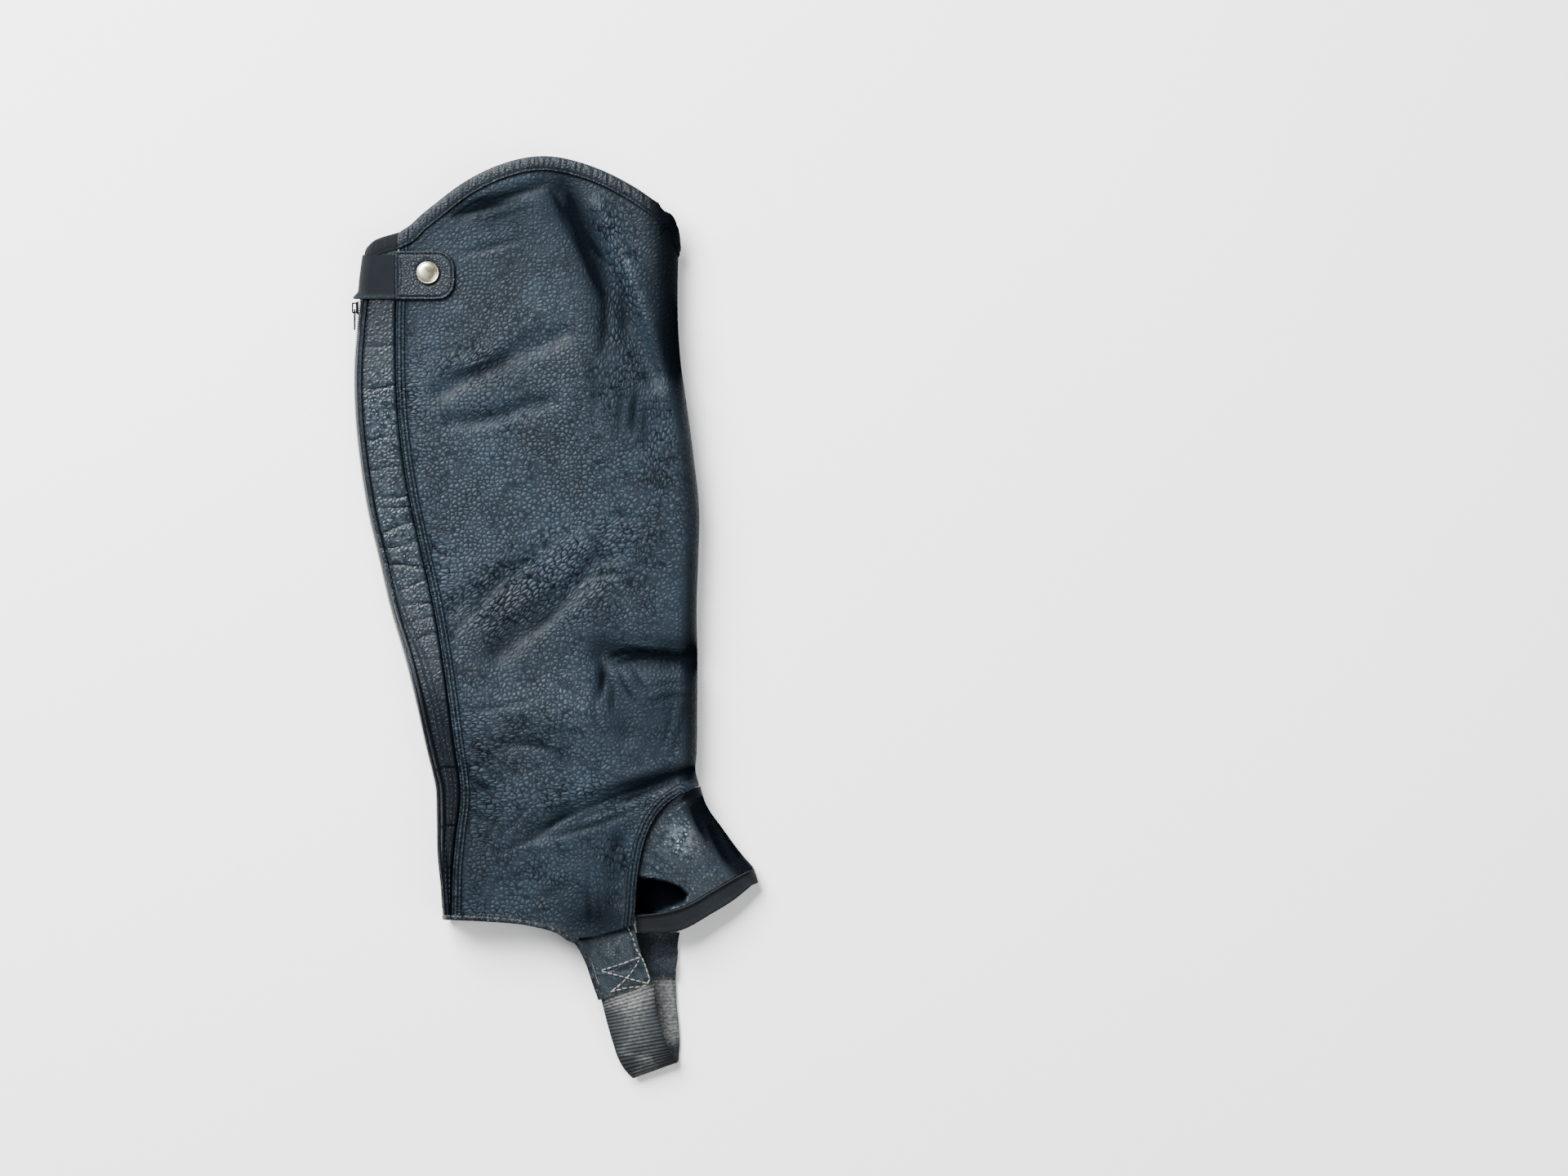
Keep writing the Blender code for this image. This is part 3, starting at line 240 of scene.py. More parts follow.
# Where the grain is drawn out: along the leg, across it or on a slant; centre, half sizes, share
GRAIN_ZONES = [
    ("grain_up", 34, 168, 17, 62, 1), ("grain_up", 60, 112, 13, 48, 0.8),
    ("grain_up", 22, 230, 16, 22, 0.7), ("grain_up", 34, -150, 14, 30, 1),
    ("grain_up", -5, -150, 22, 16, 0.4), ("grain_up", 66, -62, 14, 18, 0.6),
    ("grain_slant", -42, 148, 30, 14, 0.9), ("grain_slant", -36, 118, 26, 9, 0.8),
    ("grain_slant", 4, 22, 40, 26, 0.9), ("grain_slant", -38, 6, 26, 24, 0.8),
    ("grain_slant", 36, 50, 24, 12, 0.6), ("grain_across", 50, -22, 30, 11, 0.7),
    ("grain_across", 30, -106, 55, 11, 0.9), ("grain_across", -40, 240, 34, 13, 0.8),
    ("grain_across", -20, -70, 42, 20, 0.5), ("grain_across", -40, -112, 16, 24, 0.6),
]
GRAIN_KINDS = ("grain_up", "grain_across", "grain_slant")
# Noise scale and shift, in metres, that unsettle the grain; turn and stretch of each drawn kind
GRAIN_WARPS = ((38, 0.004), (260, 0.0004))
GRAIN_STRETCHES = {
    "Up": (0, (1.3, 0.6, 1)), "Across": (0, (0.6, 1.3, 1)), "Slant": (-0.75, (0.6, 1.3, 1)),
}
SEAM_CRINKLE_REACH = 15.0

# Parts of the outer face that lie in their own shadow: centre, half sizes, share
SHADE_PATCHES = [
    (0, 247, 75, 22, 0.33), (17, 218, 11, 38, 0.2), (28, 172, 13, 34, 0.3), (38, 132, 17, 28, 0.24),
    (-72, 170, 22, 26, 0.16), (42, -16, 30, 14, 0.22), (48, -52, 28, 34, 0.22), (12, -2, 26, 14, 0.1),
    (-48, -100, 18, 42, 0.3), (24, -160, 24, 30, 0.2), (42, -128, 16, 34, 0.2),
    (70, -20, 12, 60, 0.3), (50, 120, 16, 26, 0.22),
    (-44, 236, 26, 12, 0.2), (-50, -160, 30, 14, 0.2), (-40, 212, 48, 36, 0.26),
    (6, 214, 22, 44, 0.2), (-12, 6, 34, 22, 0.08), (-20, -24, 22, 14, 0.14),
    (42, -70, 26, 40, 0.12), (-84, 214, 16, 42, 0.28),
    (52, 116, 18, 20, 0.18), (-34, -32, 22, 30, 0.2), (14, -126, 24, 20, 0.24),
    (16, -168, 20, 13, 0.22), (-40, 132, 34, 26, 0.16), (-31, 150, 18, 9, 0.24),
    (-88, 150, 12, 40, 0.14), (24, 182, 9, 44, 0.28), (68, 148, 10, 28, 0.3),
    (27, -180, 27, 13, 0.55), (56, -60, 16, 30, 0.12),
]
SHADE_POWER = 1.4

# Creases across the back strip: height at the zip, height at the seam, half width, rise
STRIP_CREASE_ROWS = [
    (206, 203, 1.6, -0.4), (158, 161, 1.8, -0.5), (134.4, 136, 1.5, -0.9),
    (119, 121.5, 1.8, -0.4), (104.2, 106.6, 1.6, -0.8), (85.9, 88.8, 1.7, -1.1),
    (70.8, 71.7, 1.6, -1.5), (63.6, 65.8, 1.4, -1.2), (48.2, 56, 1.5, -1.3),
    (39.8, 44.8, 1.7, -1.5), (30.9, 30.3, 1.5, -1.1), (15.1, 22.4, 1.4, -0.7),
    (5.3, 9.6, 1.5, -0.9), (-7.1, 2, 1.5, -0.9),
    (-15.2, -9, 1.5, -0.7), (-24.5, -22.8, 1.8, -0.6), (-52, -49, 2, -0.4),
    (-89.3, -87.6, 1.6, -1), (-121.7, -122.4, 1.6, -1.1), (-148, -146.5, 1.9, -0.5),
]
STRIP_GAIN = 0.3

# A topstitched seam: its channel and grooves, with painted shade in them, at these distances from it,
# stitch rows between them
SEAM_LINES = (0.1, 1.45, 3.65, 5.8)
STITCH_ROWS = (2.55, 4.75)
STITCH_SIDES, STITCH_RINGS = 5, (-0.46, -0.2, 0.2, 0.46)
SEAM_RIB_WIDTH, SEAM_RIB_RISE, GROOVE_DEPTH, GROOVE_REACH = 6.4, 0.7, 0.3, 0.5
SEAM_FAR = 20.0

# Instep gusset and its band
GUSSET_FOLD_ROWS = [
    (84.6, -99), (87.8, -109.2), (97.4, -123.4), (108.7, -138.7), (115.9, -146.9),
]
GUSSET_FREE_ROWS = [(64.6, -171.8), (78, -167.5), (90.5, -160.3), (107, -151)]
CONTOUR_ROWS = [(47.6, -184.6), (73.2, -183.4), (90.5, -174.2), (104.9, -165.3)]
CONTOUR_FOLD = (118.8, -155.6)
SEAM_END_ON_GUSSET, GUSSET_SEAM_SIDE = 0.93, 0.35
GUSSET_DROP, GUSSET_DROP_END, GUSSET_CROWN = 2.5, 0.25, 2.0
GUSSET_FOLD_START_R, GUSSET_FOLD_END_R, GUSSET_FOLD_END_H = 10.0, 4.2, 9.0
BAND_SINK, BAND_GAP = 2.0, 0.4
POCKET_ROWS = [
    (46.5, -151.5), (51.6, -152.8), (57.8, -153.4), (66.5, -155.6), (73.2, -158.6),
    (77, -162.6), (75.5, -166.6), (64.6, -170.8), (50.5, -176.5), (46, -177.5),
]
POCKET_FLOOR, POCKET_LIP = 4.8, 2.2
GUSSET_CREASE_ROWS = [
    (86, -106, 96, -121, 107, -139, 1.6, -0.9),
    (83, -107, 91, -124, 100, -143, 1.5, -0.8),
    (80, -110, 85, -128, 93, -149, 1.8, -0.6),
    (78, -104, 72, -108, 66, -114, 1.8, -0.7),
    (52, -141, 62, -150, 72, -152, 1.8, 0.8),
    (60, -128, 66, -140, 80, -150, 3, -0.5),
    (79, -160, 88, -155, 98, -146, 2, 0.6),
    (72, -124, 80, -132, 84, -142, 4, 0.6),
]

# Stirrup: tab edges, elastic and inner tab
TAB_TOP_ROWS = [(10.8, -184.6), (29, -182), (45.2, -178)]
TAB_END_ROWS = [(28.1, -223.3), (42, -218.6), (55.9, -213.1)]
TAB_BACK_ROWS = [
    (10.8, -184.6), (16.4, -192.6), (20.8, -201.8), (24.6, -213.4), (28.1, -223.3),
]
TAB_FRONT_ROWS = [(45.2, -178), (49.5, -196), (55.9, -213.1)]
TAB_CREASE_ROWS = [
    (24, -193, 25, -200, 27, -206, 1.4, -0.5), (29, -187, 30, -191, 30, -197, 1.3, -0.5),
    (27, -207, 36, -208, 47, -205, 1.4, -0.5),
]
TAB_LAP, TAB_END_Z = 2.35, 14.5
HEM_ON_TAB, HEM_ON_TAB_START = (-0.002, -0.1), 0.12
LOOP_NAMES = "s x0 y0 x1 y1 z"
STIRRUP_ROWS = [
    (0, 23.9, -215.8, 53, -205.2, 12.2), (1, 26.9, -225.9, 56.9, -215.6, 12),
    (2, 29.6, -236.8, 58.8, -231.4, 11.6), (3, 33.2, -249.4, 62.6, -244.3, 10.8),
    (4, 36.9, -259.9, 66.9, -254.4, 9.6), (4.6, 40.6, -266, 69.1, -257.5, 8.2),
    (4.9, 43.6, -269.4, 70.8, -260.6, 6.2), (5.1, 45, -270.7, 71.3, -261.3, 4.2),
    (5.3, 45.4, -270.2, 71.8, -260.4, 2), (5.6, 45.4, -266.8, 72, -256.8, 0.4),
    (6.2, 44.8, -258.6, 72.4, -250.6, 0), (7.2, 43.9, -245, 72, -241, 0),
    (8.6, 41.6, -226, 70.6, -226, 0), (10, 39.6, -206.6, 70, -206.6, 0),
]
INNER_TAB_ROWS = [
    (0, 72.4, -185.2, 41, -185.6, 0), (1, 71.3, -192, 40.4, -193, 0),
    (2, 71.2, -200.6, 39.8, -201, 0), (2.6, 70.6, -204.4, 39.3, -204.6, 1.95),
    (3.4, 70.2, -211.2, 39, -211.2, 1.95),
]
INNER_TAB_CREASE_ROWS = [
    (56, -187, 63, -191, 71, -189, 1.2, 0.5), (55, -192, 62, -197, 70, -196, 1.3, 0.5),
    (54, -198, 60, -202, 66, -208, 1.2, 0.45), (60, -188, 58, -196, 57, -206, 1.4, -0.4),
]
RIB_PITCH, RIB_RISE = 2.1, 0.28

# Snap closure
SNAP_TOP, SNAP_BOTTOM, SNAP_BACK, SNAP_FRONT, SNAP_CORNER = 215.0, 186.3, -94.3, -59.3, 10.5
SNAP_MIDDLE, SNAP_HALF = (SNAP_TOP + SNAP_BOTTOM) / 2, (SNAP_TOP - SNAP_BOTTOM) / 2
SNAP_RIM_INSET = 1.9
BAND_TOP, BAND_BOTTOM, BAND_END_GIRTH = 212.6, 186.9, 3.26
BAND_FLARE, BAND_FLARE_REACH, BAND_FLARE_GIRTH, BAND_FLARE_SPREAD = 3.0, 5.0, 3.6, 0.2
CAP_CENTRE, CAP_RADIUS, CAP_HEIGHT, CAP_GAP = (-75.1, 202.1), 6.7, 2.5, 0.48
CAP_SIDES = 64
# Radius and height of each ring of the cap, as shares of its own
CAP_PROFILE = [
    (0.88, 0.0), (0.96, 0.08), (1.0, 0.3), (0.99, 0.55), (0.95, 0.72), (0.90, 0.74), (0.86, 0.66),
    (0.83, 0.68), (0.78, 0.78), (0.66, 0.88), (0.5, 0.95), (0.3, 0.99), (0.12, 1.0),
]

# Place, power and side of each light
LIGHTS = {"key": ((-1.25, 1.6, 1.7), 430.0, 1.9), "fill": ((1.5, -0.9, 1.9), 50.0, 1.8)}

# Thread lines on the outer stirrup tab, worn white
TAB_THREAD_LINES = {
    "ridge": [(41.8, -181), (45, -187.5), (47.7, -195.4), (50.3, -199.4), (54.9, -211.9)],
    "end": [(54.9, -211.9), (53.6, -214.5), (42, -217), (31.5, -219.6)],
    "first diagonal": [(26.6, -207.3), (36.5, -209.9), (45.7, -212.5), (53.6, -214.5)],
    "second diagonal": [(32.5, -219.2), (39.1, -213.9), (45.7, -206), (49.6, -199.4)],
    "upper": [(26.4, -206.9), (37.8, -203.3), (49.6, -198.9)],
}


def ease(share: Array) -> Array:
    """Soft step."""
    share = np.clip(share, 0.0, 1.0)
    return share * share * (3.0 - 2.0 * share)


def bump(distance: Array, reach: float) -> Array:
    """Rounded hill, 1 at no distance."""
    return np.exp(-((distance / reach) ** 2))


def ripple(length: Array, pitch: float, phase: float = 0.0) -> Array:
    """Uneven wave along an edge, with waves that drift in width and strength.

    Args:
        length: Distance along the edge.
        pitch: Mean length of a wave.
        phase: Shift of the pattern.

    Returns:
        The wave, within -1 to 1.
    """
    turn = 2 * math.pi * length / pitch + 1.9 * np.sin(length / (4.3 * pitch) + phase)
    strength = 0.78 + 0.22 * np.sin(length / (6.1 * pitch) + 2.0 * phase + 1.0)
    return strength * (0.7 * np.sin(turn + phase) + 0.3 * np.sin(1.71 * turn + 0.6))


class Curve:
    """A smooth curve through the rows of a table."""

    def __init__(self, keys: Sequence[float], values: Sequence) -> None:
        """Sorts the rows and finds the slope at each.

        Args:
            keys: Where each row lies.
            values: The number, or the point, of each row.
        """
        order = np.argsort(keys)
        self.keys = np.asarray(keys, float)[order]
        self.values = np.asarray(values, float)[order]
        self.slopes = np.gradient(self.values, self.keys, axis=0)

    def __call__(self, key: Array) -> Array:
        """Reads the curve.

        Args:
            key: One key or an array of them; keys past the ends are held.

        Returns:
            The value, or the point, at each key.
        """
        key = np.clip(np.asarray(key, float), self.keys[0], self.keys[-1])
        row = np.clip(np.searchsorted(self.keys, key) - 1, 0, len(self.keys) - 2)
        span = self.keys[row + 1] - self.keys[row]
        s = (key - self.keys[row]) / span
        if self.values.ndim > 1:
            s, span = s[..., None], span[..., None]
        start = (1 + 2 * s) * self.values[row] + s * span * self.slopes[row]
        end = (3 - 2 * s) * self.values[row + 1] - (1 - s) * span * self.slopes[row + 1]
        return (1 - s) ** 2 * start + s * s * end


class Table:
    """Rows with named columns; each column but the first is a curve against the first."""

    def __init__(self, names: str, rows: Sequence[Sequence[float]]) -> None:
        """Makes the curves.

        Args:
            names: The columns' names.
            rows: The rows.
        """
        words = names.split()
        columns = np.array(rows, float).T
        for name, column in zip(words[1:], columns[1:]):
            setattr(self, name, Curve(columns[0], column))


def run_of(points: Array) -> Array:
    """Distance along a line of points, at each of them."""
    return np.concatenate(([0.0], np.cumsum(np.linalg.norm(np.diff(points, axis=0), axis=1))))


def path(points: Sequence) -> Curve:
    """Plan curve through points, read from 0 at its start to 1 at its end.

    Args:
        points: The points, in order.

    Returns:
        The curve.
    """
    points = np.array(points, float)
    steps = np.linalg.norm(np.diff(points, axis=0), axis=1)
    return Curve(np.concatenate(([0.0], np.cumsum(steps))) / steps.sum(), points)


def shifted(line: Line, distance: float) -> Line:
    """The same plan curve moved to the right of its direction.

    Args:
        line: The curve.
        distance: How far it is moved.

    Returns:
        The moved curve.
    """
    def moved(share: Array) -> Array:
        """Reads the moved curve.

        Args:
            share: Shares along the curve.

        Returns:
            The points.
        """
        share = np.asarray(share, float)
        ahead = line(np.minimum(share + CURVE_STEP, 1.0)) - line(np.maximum(share - CURVE_STEP, 0.0))
        ahead = ahead / np.linalg.norm(ahead, axis=-1, keepdims=True)
        return line(share) + distance * np.stack([ahead[..., 1], -ahead[..., 0]], -1)
    return moved


def coons(top: Line, bottom: Line, left: Line, right: Line, across: Array, down: Array) -> Array:
    """Plan points of a four-sided patch between its edge curves.

    Args:
        top: Upper edge, read by across.
        bottom: Lower edge, read by across.
        left: Edge at across 0, read by down.
        right: Edge at across 1, read by down.
        across: Share across the patch.
        down: Share down the patch.

    Returns:
        The points.
    """
    a, d = across[..., None], down[..., None]
    edges = top(across) * (1 - d) + bottom(across) * d + left(down) * (1 - a) + right(down) * a
    upper = top(np.zeros_like(across)) * (1 - a) + top(np.ones_like(across)) * a
    lower = bottom(np.zeros_like(across)) * (1 - a) + bottom(np.ones_like(across)) * a
    return edges - upper * (1 - d) - lower * d


def joined(first: Array, *spans: tuple[float, float, int]) -> Array:
    """Places of a first span, then those of more spans without their shared starts."""
    return np.concatenate([first, *(np.linspace(*span)[1:] for span in spans)])


def graded(cells: int, fine: int, share: float) -> Array:
    """Shares from 0 to 1 that stand closer near 0."""
    return joined(np.linspace(0.0, share, fine + 1), (share, 1.0, cells + 1))


def creases(rows: Sequence[Sequence[float]], x: Array, y: Array, tapered: bool) -> Array:
    """Rise of soft troughs and ridges at places in plan.

    Args:
        rows: Start, bend and end in plan, half width and rise of each.
        x: Places' X.
        y: Places' Y.
        tapered: Whether each fades out at its ends, with a low lip at both sides.

    Returns:
        The summed rise.
    """
    x, y = np.broadcast_arrays(np.asarray(x, float), np.asarray(y, float))
    shape, x, y = x.shape, x.ravel(), y.ravel()
    whole = np.zeros(x.shape)
    steps = np.linspace(0.0, 1.0, CREASE_STEPS + 1)
    for x0, y0, x1, y1, x2, y2, reach, height in rows:
        reach = reach * CREASE_SPREAD if tapered else reach
        room = CREASE_ROOM * reach
        near = ((x > min(x0, x1, x2) - room) & (x < max(x0, x1, x2) + room)
                & (y > min(y0, y1, y2) - room) & (y < max(y0, y1, y2) + room))
        px, py = x[near], y[near]
        nearest = np.full(px.shape, np.inf)
        along = np.zeros(px.shape)
        corners = (1 - steps) ** 2, 2 * steps * (1 - steps), steps ** 2
        line_x = corners[0] * x0 + corners[1] * x1 + corners[2] * x2
        line_y = corners[0] * y0 + corners[1] * y1 + corners[2] * y2
        for k in range(CREASE_STEPS):
            dx, dy = line_x[k + 1] - line_x[k], line_y[k + 1] - line_y[k]
            s = np.clip(((px - line_x[k]) * dx + (py - line_y[k]) * dy) / (dx * dx + dy * dy), 0.0, 1.0)
            away = np.hypot(px - line_x[k] - s * dx, py - line_y[k] - s * dy)
            along = np.where(away < nearest, (k + s) / CREASE_STEPS, along)
            nearest = np.minimum(nearest, away)
        profile = bump(nearest, reach)
        if tapered:
            profile = profile - CREASE_LIP * bump(nearest - 1.9 * reach, 0.8 * reach)
            profile = profile * np.sin(math.pi * (0.04 + 0.92 * along)) ** 0.6
        whole[near] += height * profile
    return whole.reshape(shape)


def distance_to(line: Line, x: Array, y: Array, samples: int = 80) -> Array:
    """Distance in plan to a curve.

    Args:
        line: The curve.
        x: Places' X.
        y: Places' Y.
        samples: Points taken on the curve.

    Returns:
        The distances.
    """
    best = np.full(np.broadcast(x, y).shape, np.inf)
    for spot in line(np.linspace(0.0, 1.0, samples)):
        best = np.minimum(best, np.hypot(x - spot[0], y - spot[1]))
    return best


def inside_depth(rows: Sequence, x: Array, y: Array) -> Array:
    """How deep places lie inside a closed plan outline.

    Args:
        rows: The outline's corners.
        x: Places' X.
        y: Places' Y.

    Returns:
        Distance to the outline, positive inside and negative outside.
    """
    best = np.full(x.shape, np.inf)
    odd = np.zeros(x.shape, bool)
    for (x0, y0), (x1, y1) in zip(rows, list(rows[1:]) + [rows[0]]):
        dx, dy = x1 - x0, y1 - y0
        s = np.clip(((x - x0) * dx + (y - y0) * dy) / (dx * dx + dy * dy), 0.0, 1.0)
        best = np.minimum(best, np.hypot(x - x0 - s * dx, y - y0 - s * dy))
        if y0 != y1:
            crosses = ((y0 > y) != (y1 > y)) & (x < dx * (y - y0) / dy + x0)
            odd ^= crosses
    return np.where(odd, best, -best)


def seam_rib(distance: Array) -> Array:
    """Rise of a turned and topstitched edge.

    Args:
        distance: Distance from the seam, on the upper piece.

    Returns:
        The rise.
    """
    rib = SEAM_RIB_RISE * (ease(distance / 0.9) - ease((distance - SEAM_RIB_WIDTH + 1.0) / 2.2))
    for place in SEAM_LINES[1:]:
        rib = rib - GROOVE_DEPTH * bump(distance - place, GROOVE_REACH)
    return np.where(distance > -0.2, rib, 0.0)


def strip_creases(t: Array, y: Array) -> Iterator[tuple[Array, Array, float, float]]:
    """Creases across the back strip.

    Args:
        t: Places' share across the strip.
        y: Places' Y.

    Yields:
        Distance to each crease, its strength there, half width and rise.
    """
    for y0, y1, reach, rise in STRIP_CREASE_ROWS:
        away = y - (y0 + (y1 - y0) * t + 0.8 * np.sin(5.0 * t + y0))
        yield away, 0.65 + 0.35 * np.cos(3.0 * t + y1), reach, rise


class LegForm:
    """The flattened tube of the leg and its two flaps: one skin that every piece shares."""

    def __init__(self) -> None:
        """Makes the curves that every piece reads."""
        self.leg = Table(LEG_NAMES, LEG_ROWS)
        self.strip_seam = Table("y x", STRIP_SEAM_ROWS).x
        self.top_edge = Table("girth y", TOP_EDGE_ROWS).y
        start = self.point(np.array(FRONT), np.array(FLAP_DIP), fine=False)[:2]
        self.gusset_seam = path([tuple(start)] + GUSSET_SEAM_ROWS)
        self.panel_seam = shifted(self.gusset_seam, HALF_GAP)
        self.outer_hem = path(OUTER_HEM_ROWS)
        self.inner_hem = path(INNER_HEM_ROWS)

    def fine_relief(self, x: Array, y: Array) -> Array:
        """Creases, seam ribs and puckers of the outer face.

        Args:
            x: Places' X.
            y: Places' Y.

        Returns:
            The rise.
        """
        seam = self.strip_seam(y)
        panel = CREASE_GAIN * creases(CREASE_ROWS, x, y, True) + seam_rib(x - seam)
        low = y < FLAP_TOP + 6.0
        panel = panel + np.where(low, seam_rib(distance_to(self.gusset_seam, x, y)), 0.0)
        near = self.outer_hem(np.linspace(0, 1, 60))
        hem_y = np.interp(x, near[:, 0], near[:, 1])
        panel = panel - 0.4 * bump(y - hem_y - 2.2, 0.6) * (x < 10)
        back = self.leg.back(y)
        t = np.clip((x - back) / (seam - back), 0.0, 1.0)
        strip = np.zeros_like(panel)
        for away, swell, reach, rise in strip_creases(t, y):
            fade = ease(t / 0.25) * swell
            lip = 0.1 * bump(np.abs(away) - 1.9 * reach, reach)
            strip += STRIP_GAIN * rise * fade * (bump(away, reach) - lip)
        strip -= 0.7 * bump(x - seam, 0.8)
        return np.where(x < seam, strip, panel)

    def outer_height(self, x: Array, y: Array, fine: bool = True) -> Array:
        """Height of the outer face over the floor.

        Args:
            x: Places' X.
            y: Places' Y.
            fine: Whether fine creases count too.

        Returns:
            The heights.
        """
        back, front = self.leg.back(y), self.leg.front(y)
        t = np.clip((x - back) / (front - back), 0.0, 1.0)
        level = (self.leg.back_h(y) * (1 - t) * (1 - 2 * t) + self.leg.mid_h(y) * 4 * t * (1 - t)
                 + self.leg.front_h(y) * t * (2 * t - 1))
        level = level + creases(FOLD_ROWS, x, y, False)
        return level + self.fine_relief(x, y) if fine else level

    def point(self, girth: Array, y: Array, fine: bool = True) -> Array:
        """Points of the tube's skin.

        Args:
            girth: Places round the girth.
            y: Heights up the leg.
            fine: Whether fine creases count too.

        Returns:
            The points.
        """
        girth, y = np.broadcast_arrays(np.mod(girth, ROUND), np.asarray(y, float))
        part = np.floor(girth).astype(int)
        share = girth - part
        back, front = self.leg.back(y), self.leg.front(y)
        back_r, front_r = self.leg.back_r(y), self.leg.front_r(y)
        seam = self.strip_seam(y)
        turn = math.pi * np.where(part == 1, 0.5 - share, 1.5 - share)
        x = np.select(
            [part == 0, part == 1, part == 2, part == 3],
            [seam + (front - front_r - seam) * share, front - front_r + front_r * np.cos(turn),
             front - front_r + (back + back_r - front + front_r) * share,
             back + back_r + back_r * np.cos(turn)],
            back + back_r + (seam - back - back_r) * share)
        edge_x = np.select([part == 1, part == 3], [front - front_r, back + back_r], x)
        over = self.outer_height(edge_x, y, fine)
        z = np.select([part == 1, part == 3, part == 2],
                      [over / 2 * (1 + np.sin(turn)), over / 2 * (1 + np.sin(turn)), 0.0 * over], over)
        return np.stack([x, y, z], -1)

    def skin(self, girth: Array, y: Array, out: Array = 0.0, fine: bool = True) -> Array:
        """Points out from the skin along its normal.

        Args:
            girth: Places round the girth.
            y: Heights up the leg.
            out: Distance out.
            fine: Whether fine creases count too.

        Returns:
            The points.
        """
        girth, y = np.broadcast_arrays(np.asarray(girth, float), np.asarray(y, float))
        across = self.point(girth + CURVE_STEP, y, fine) - self.point(girth - CURVE_STEP, y, fine)
        down = self.point(girth, y - 1.0, fine) - self.point(girth, y + 1.0, fine)
        normal = np.cross(down, across)
        normal /= np.linalg.norm(normal, axis=-1, keepdims=True)
        return self.point(girth, y, fine) + np.asarray(out)[..., None] * normal

    def face(self, plan: Array, out: Array = 0.0, fine: bool = True) -> Array:
        """Points over the outer face at places in plan."""
        x, y = plan[..., 0], plan[..., 1]
        return np.stack([x, y, self.outer_height(x, y, fine) + out], -1)

    def zip_half_girth(self, y: Array, reach: float = ZIP_HALF_WIDTH + HALF_GAP) -> Array:
        """Half the zip's width as a share of the girth."""
        half = self.outer_height(self.leg.back(y) + self.leg.back_r(y), y, False) / 2
        return reach / half / math.pi

    def panel_girth(self, code: Array, y: Array) -> Array:
        """Girth of a column of the panel, whose edges leave room for the seams.

        Args:
            code: The column's place, 0 at the strip seam to 3.5 at the zip.
            y: Heights up the leg.

        Returns:
            The girths.
        """
        width = self.leg.front(y) - self.leg.front_r(y) - self.strip_seam(y)
        start = HALF_GAP / width
        last = ZIP_GIRTH - self.zip_half_girth(y)
        over = start + (1.0 - start) * code
        under = BACK + (last - BACK) * (code - BACK) / (ZIP_GIRTH - BACK)
        return np.select([code < FRONT, code <= BACK], [over, code + 0.0 * y], under)

    def strip_girth(self, code: Array, y: Array) -> Array:
        """Girth of a column of the back strip.

        Args:
            code: The column's place, 3.5 at the zip to 5 at the seam.
            y: Heights up the leg.

        Returns:
            The girths.
        """
        first = ZIP_GIRTH + self.zip_half_girth(y)
        width = self.strip_seam(y) - self.leg.back(y) - self.leg.back_r(y)
        last = ROUND - HALF_GAP / width
        over = STRIP + (last - STRIP) * (code - STRIP)
        return np.where(code < STRIP, first + (STRIP - first) * (code - ZIP_GIRTH) * 2, over)

    def edge_drop(self, girth: Array, width: Array) -> Array:
        """Height that a trim of a given width takes up along the top edge.

        Args:
            girth: Places round the girth.
            width: The trim's width.

        Returns:
            The heights.
        """
        low, high = np.maximum(girth - TRIM_STEP, 0.0), np.minimum(girth + TRIM_STEP, ROUND)
        y = self.top_edge(girth)
        run = np.linalg.norm(self.point(high, y, False) - self.point(low, y, False), axis=-1)
        slope = (self.top_edge(high) - self.top_edge(low)) / run
        return width * np.sqrt(1.0 + slope * slope)

    def cloth_top(self, girth: Array) -> Array:
        """Top edge of the panel or strip, under its binding."""
        width = np.where(girth > ZIP_GIRTH, STRIP_BINDING_WIDTH, BINDING_WIDTH)
        return self.top_edge(girth) - self.edge_drop(girth, width - TUCK)

    def flap_line(self, girth: Array) -> Array:
        """Height where the tube ends, lower beside the front fold.

        Args:
            girth: Places round the girth.

        Returns:
            The heights.
        """
        span = FRONT - DIP_START
        near = np.where(girth < FRONT, (girth - DIP_START) / span, (UNDER + span - girth) / span)
        plain = FLAP_TOP + (FLAP_DIP - FLAP_TOP) * ease(near)
        fold = FLAP_DIP + FOLD_RISE * np.sin(math.pi * (girth - FRONT))
        return np.where((girth >= FRONT) & (girth <= UNDER), fold, plain)

    def flap(self, across: Array, down: Array, outer: bool) -> Array:
        """Plan points of the outer or inner flap below the tube.

        Args:
            across: Share across the flap, in the sense of the girth.
            down: Share down the flap.
            outer: Whether it is the outer flap.

        Returns:
            The plan points.
        """
        def top(share: Array) -> Array:
            """Upper edge."""
            girth = self.panel_girth(share, np.array(FLAP_TOP)) if outer else UNDER + share
            return self.point(girth, self.flap_line(girth), False)[..., :2]

        def side(share: Array) -> Array:
            """Edge away from the gusset.

            Args:
                share: Shares down the edge.

            Returns:
                The points.
            """
            y = FLAP_TOP + (BACK_HEM - FLAP_TOP) * share
            x = self.strip_seam(y) + HALF_GAP if outer else self.leg.back(y) + self.leg.back_r(y)
            return np.stack([x, y], -1)

        if outer:
            return coons(top, self.outer_hem, side, self.panel_seam, across, down)
        return coons(top, self.inner_hem, self.panel_seam, side, across, down)


@dataclass(frozen=True)
class Tint:
    """One linear colour."""

    red: float
    green: float
    blue: float

    def rgba(self) -> tuple[float, float, float, float]:
        """Shader colour."""
        return (self.red, self.green, self.blue, 1.0)


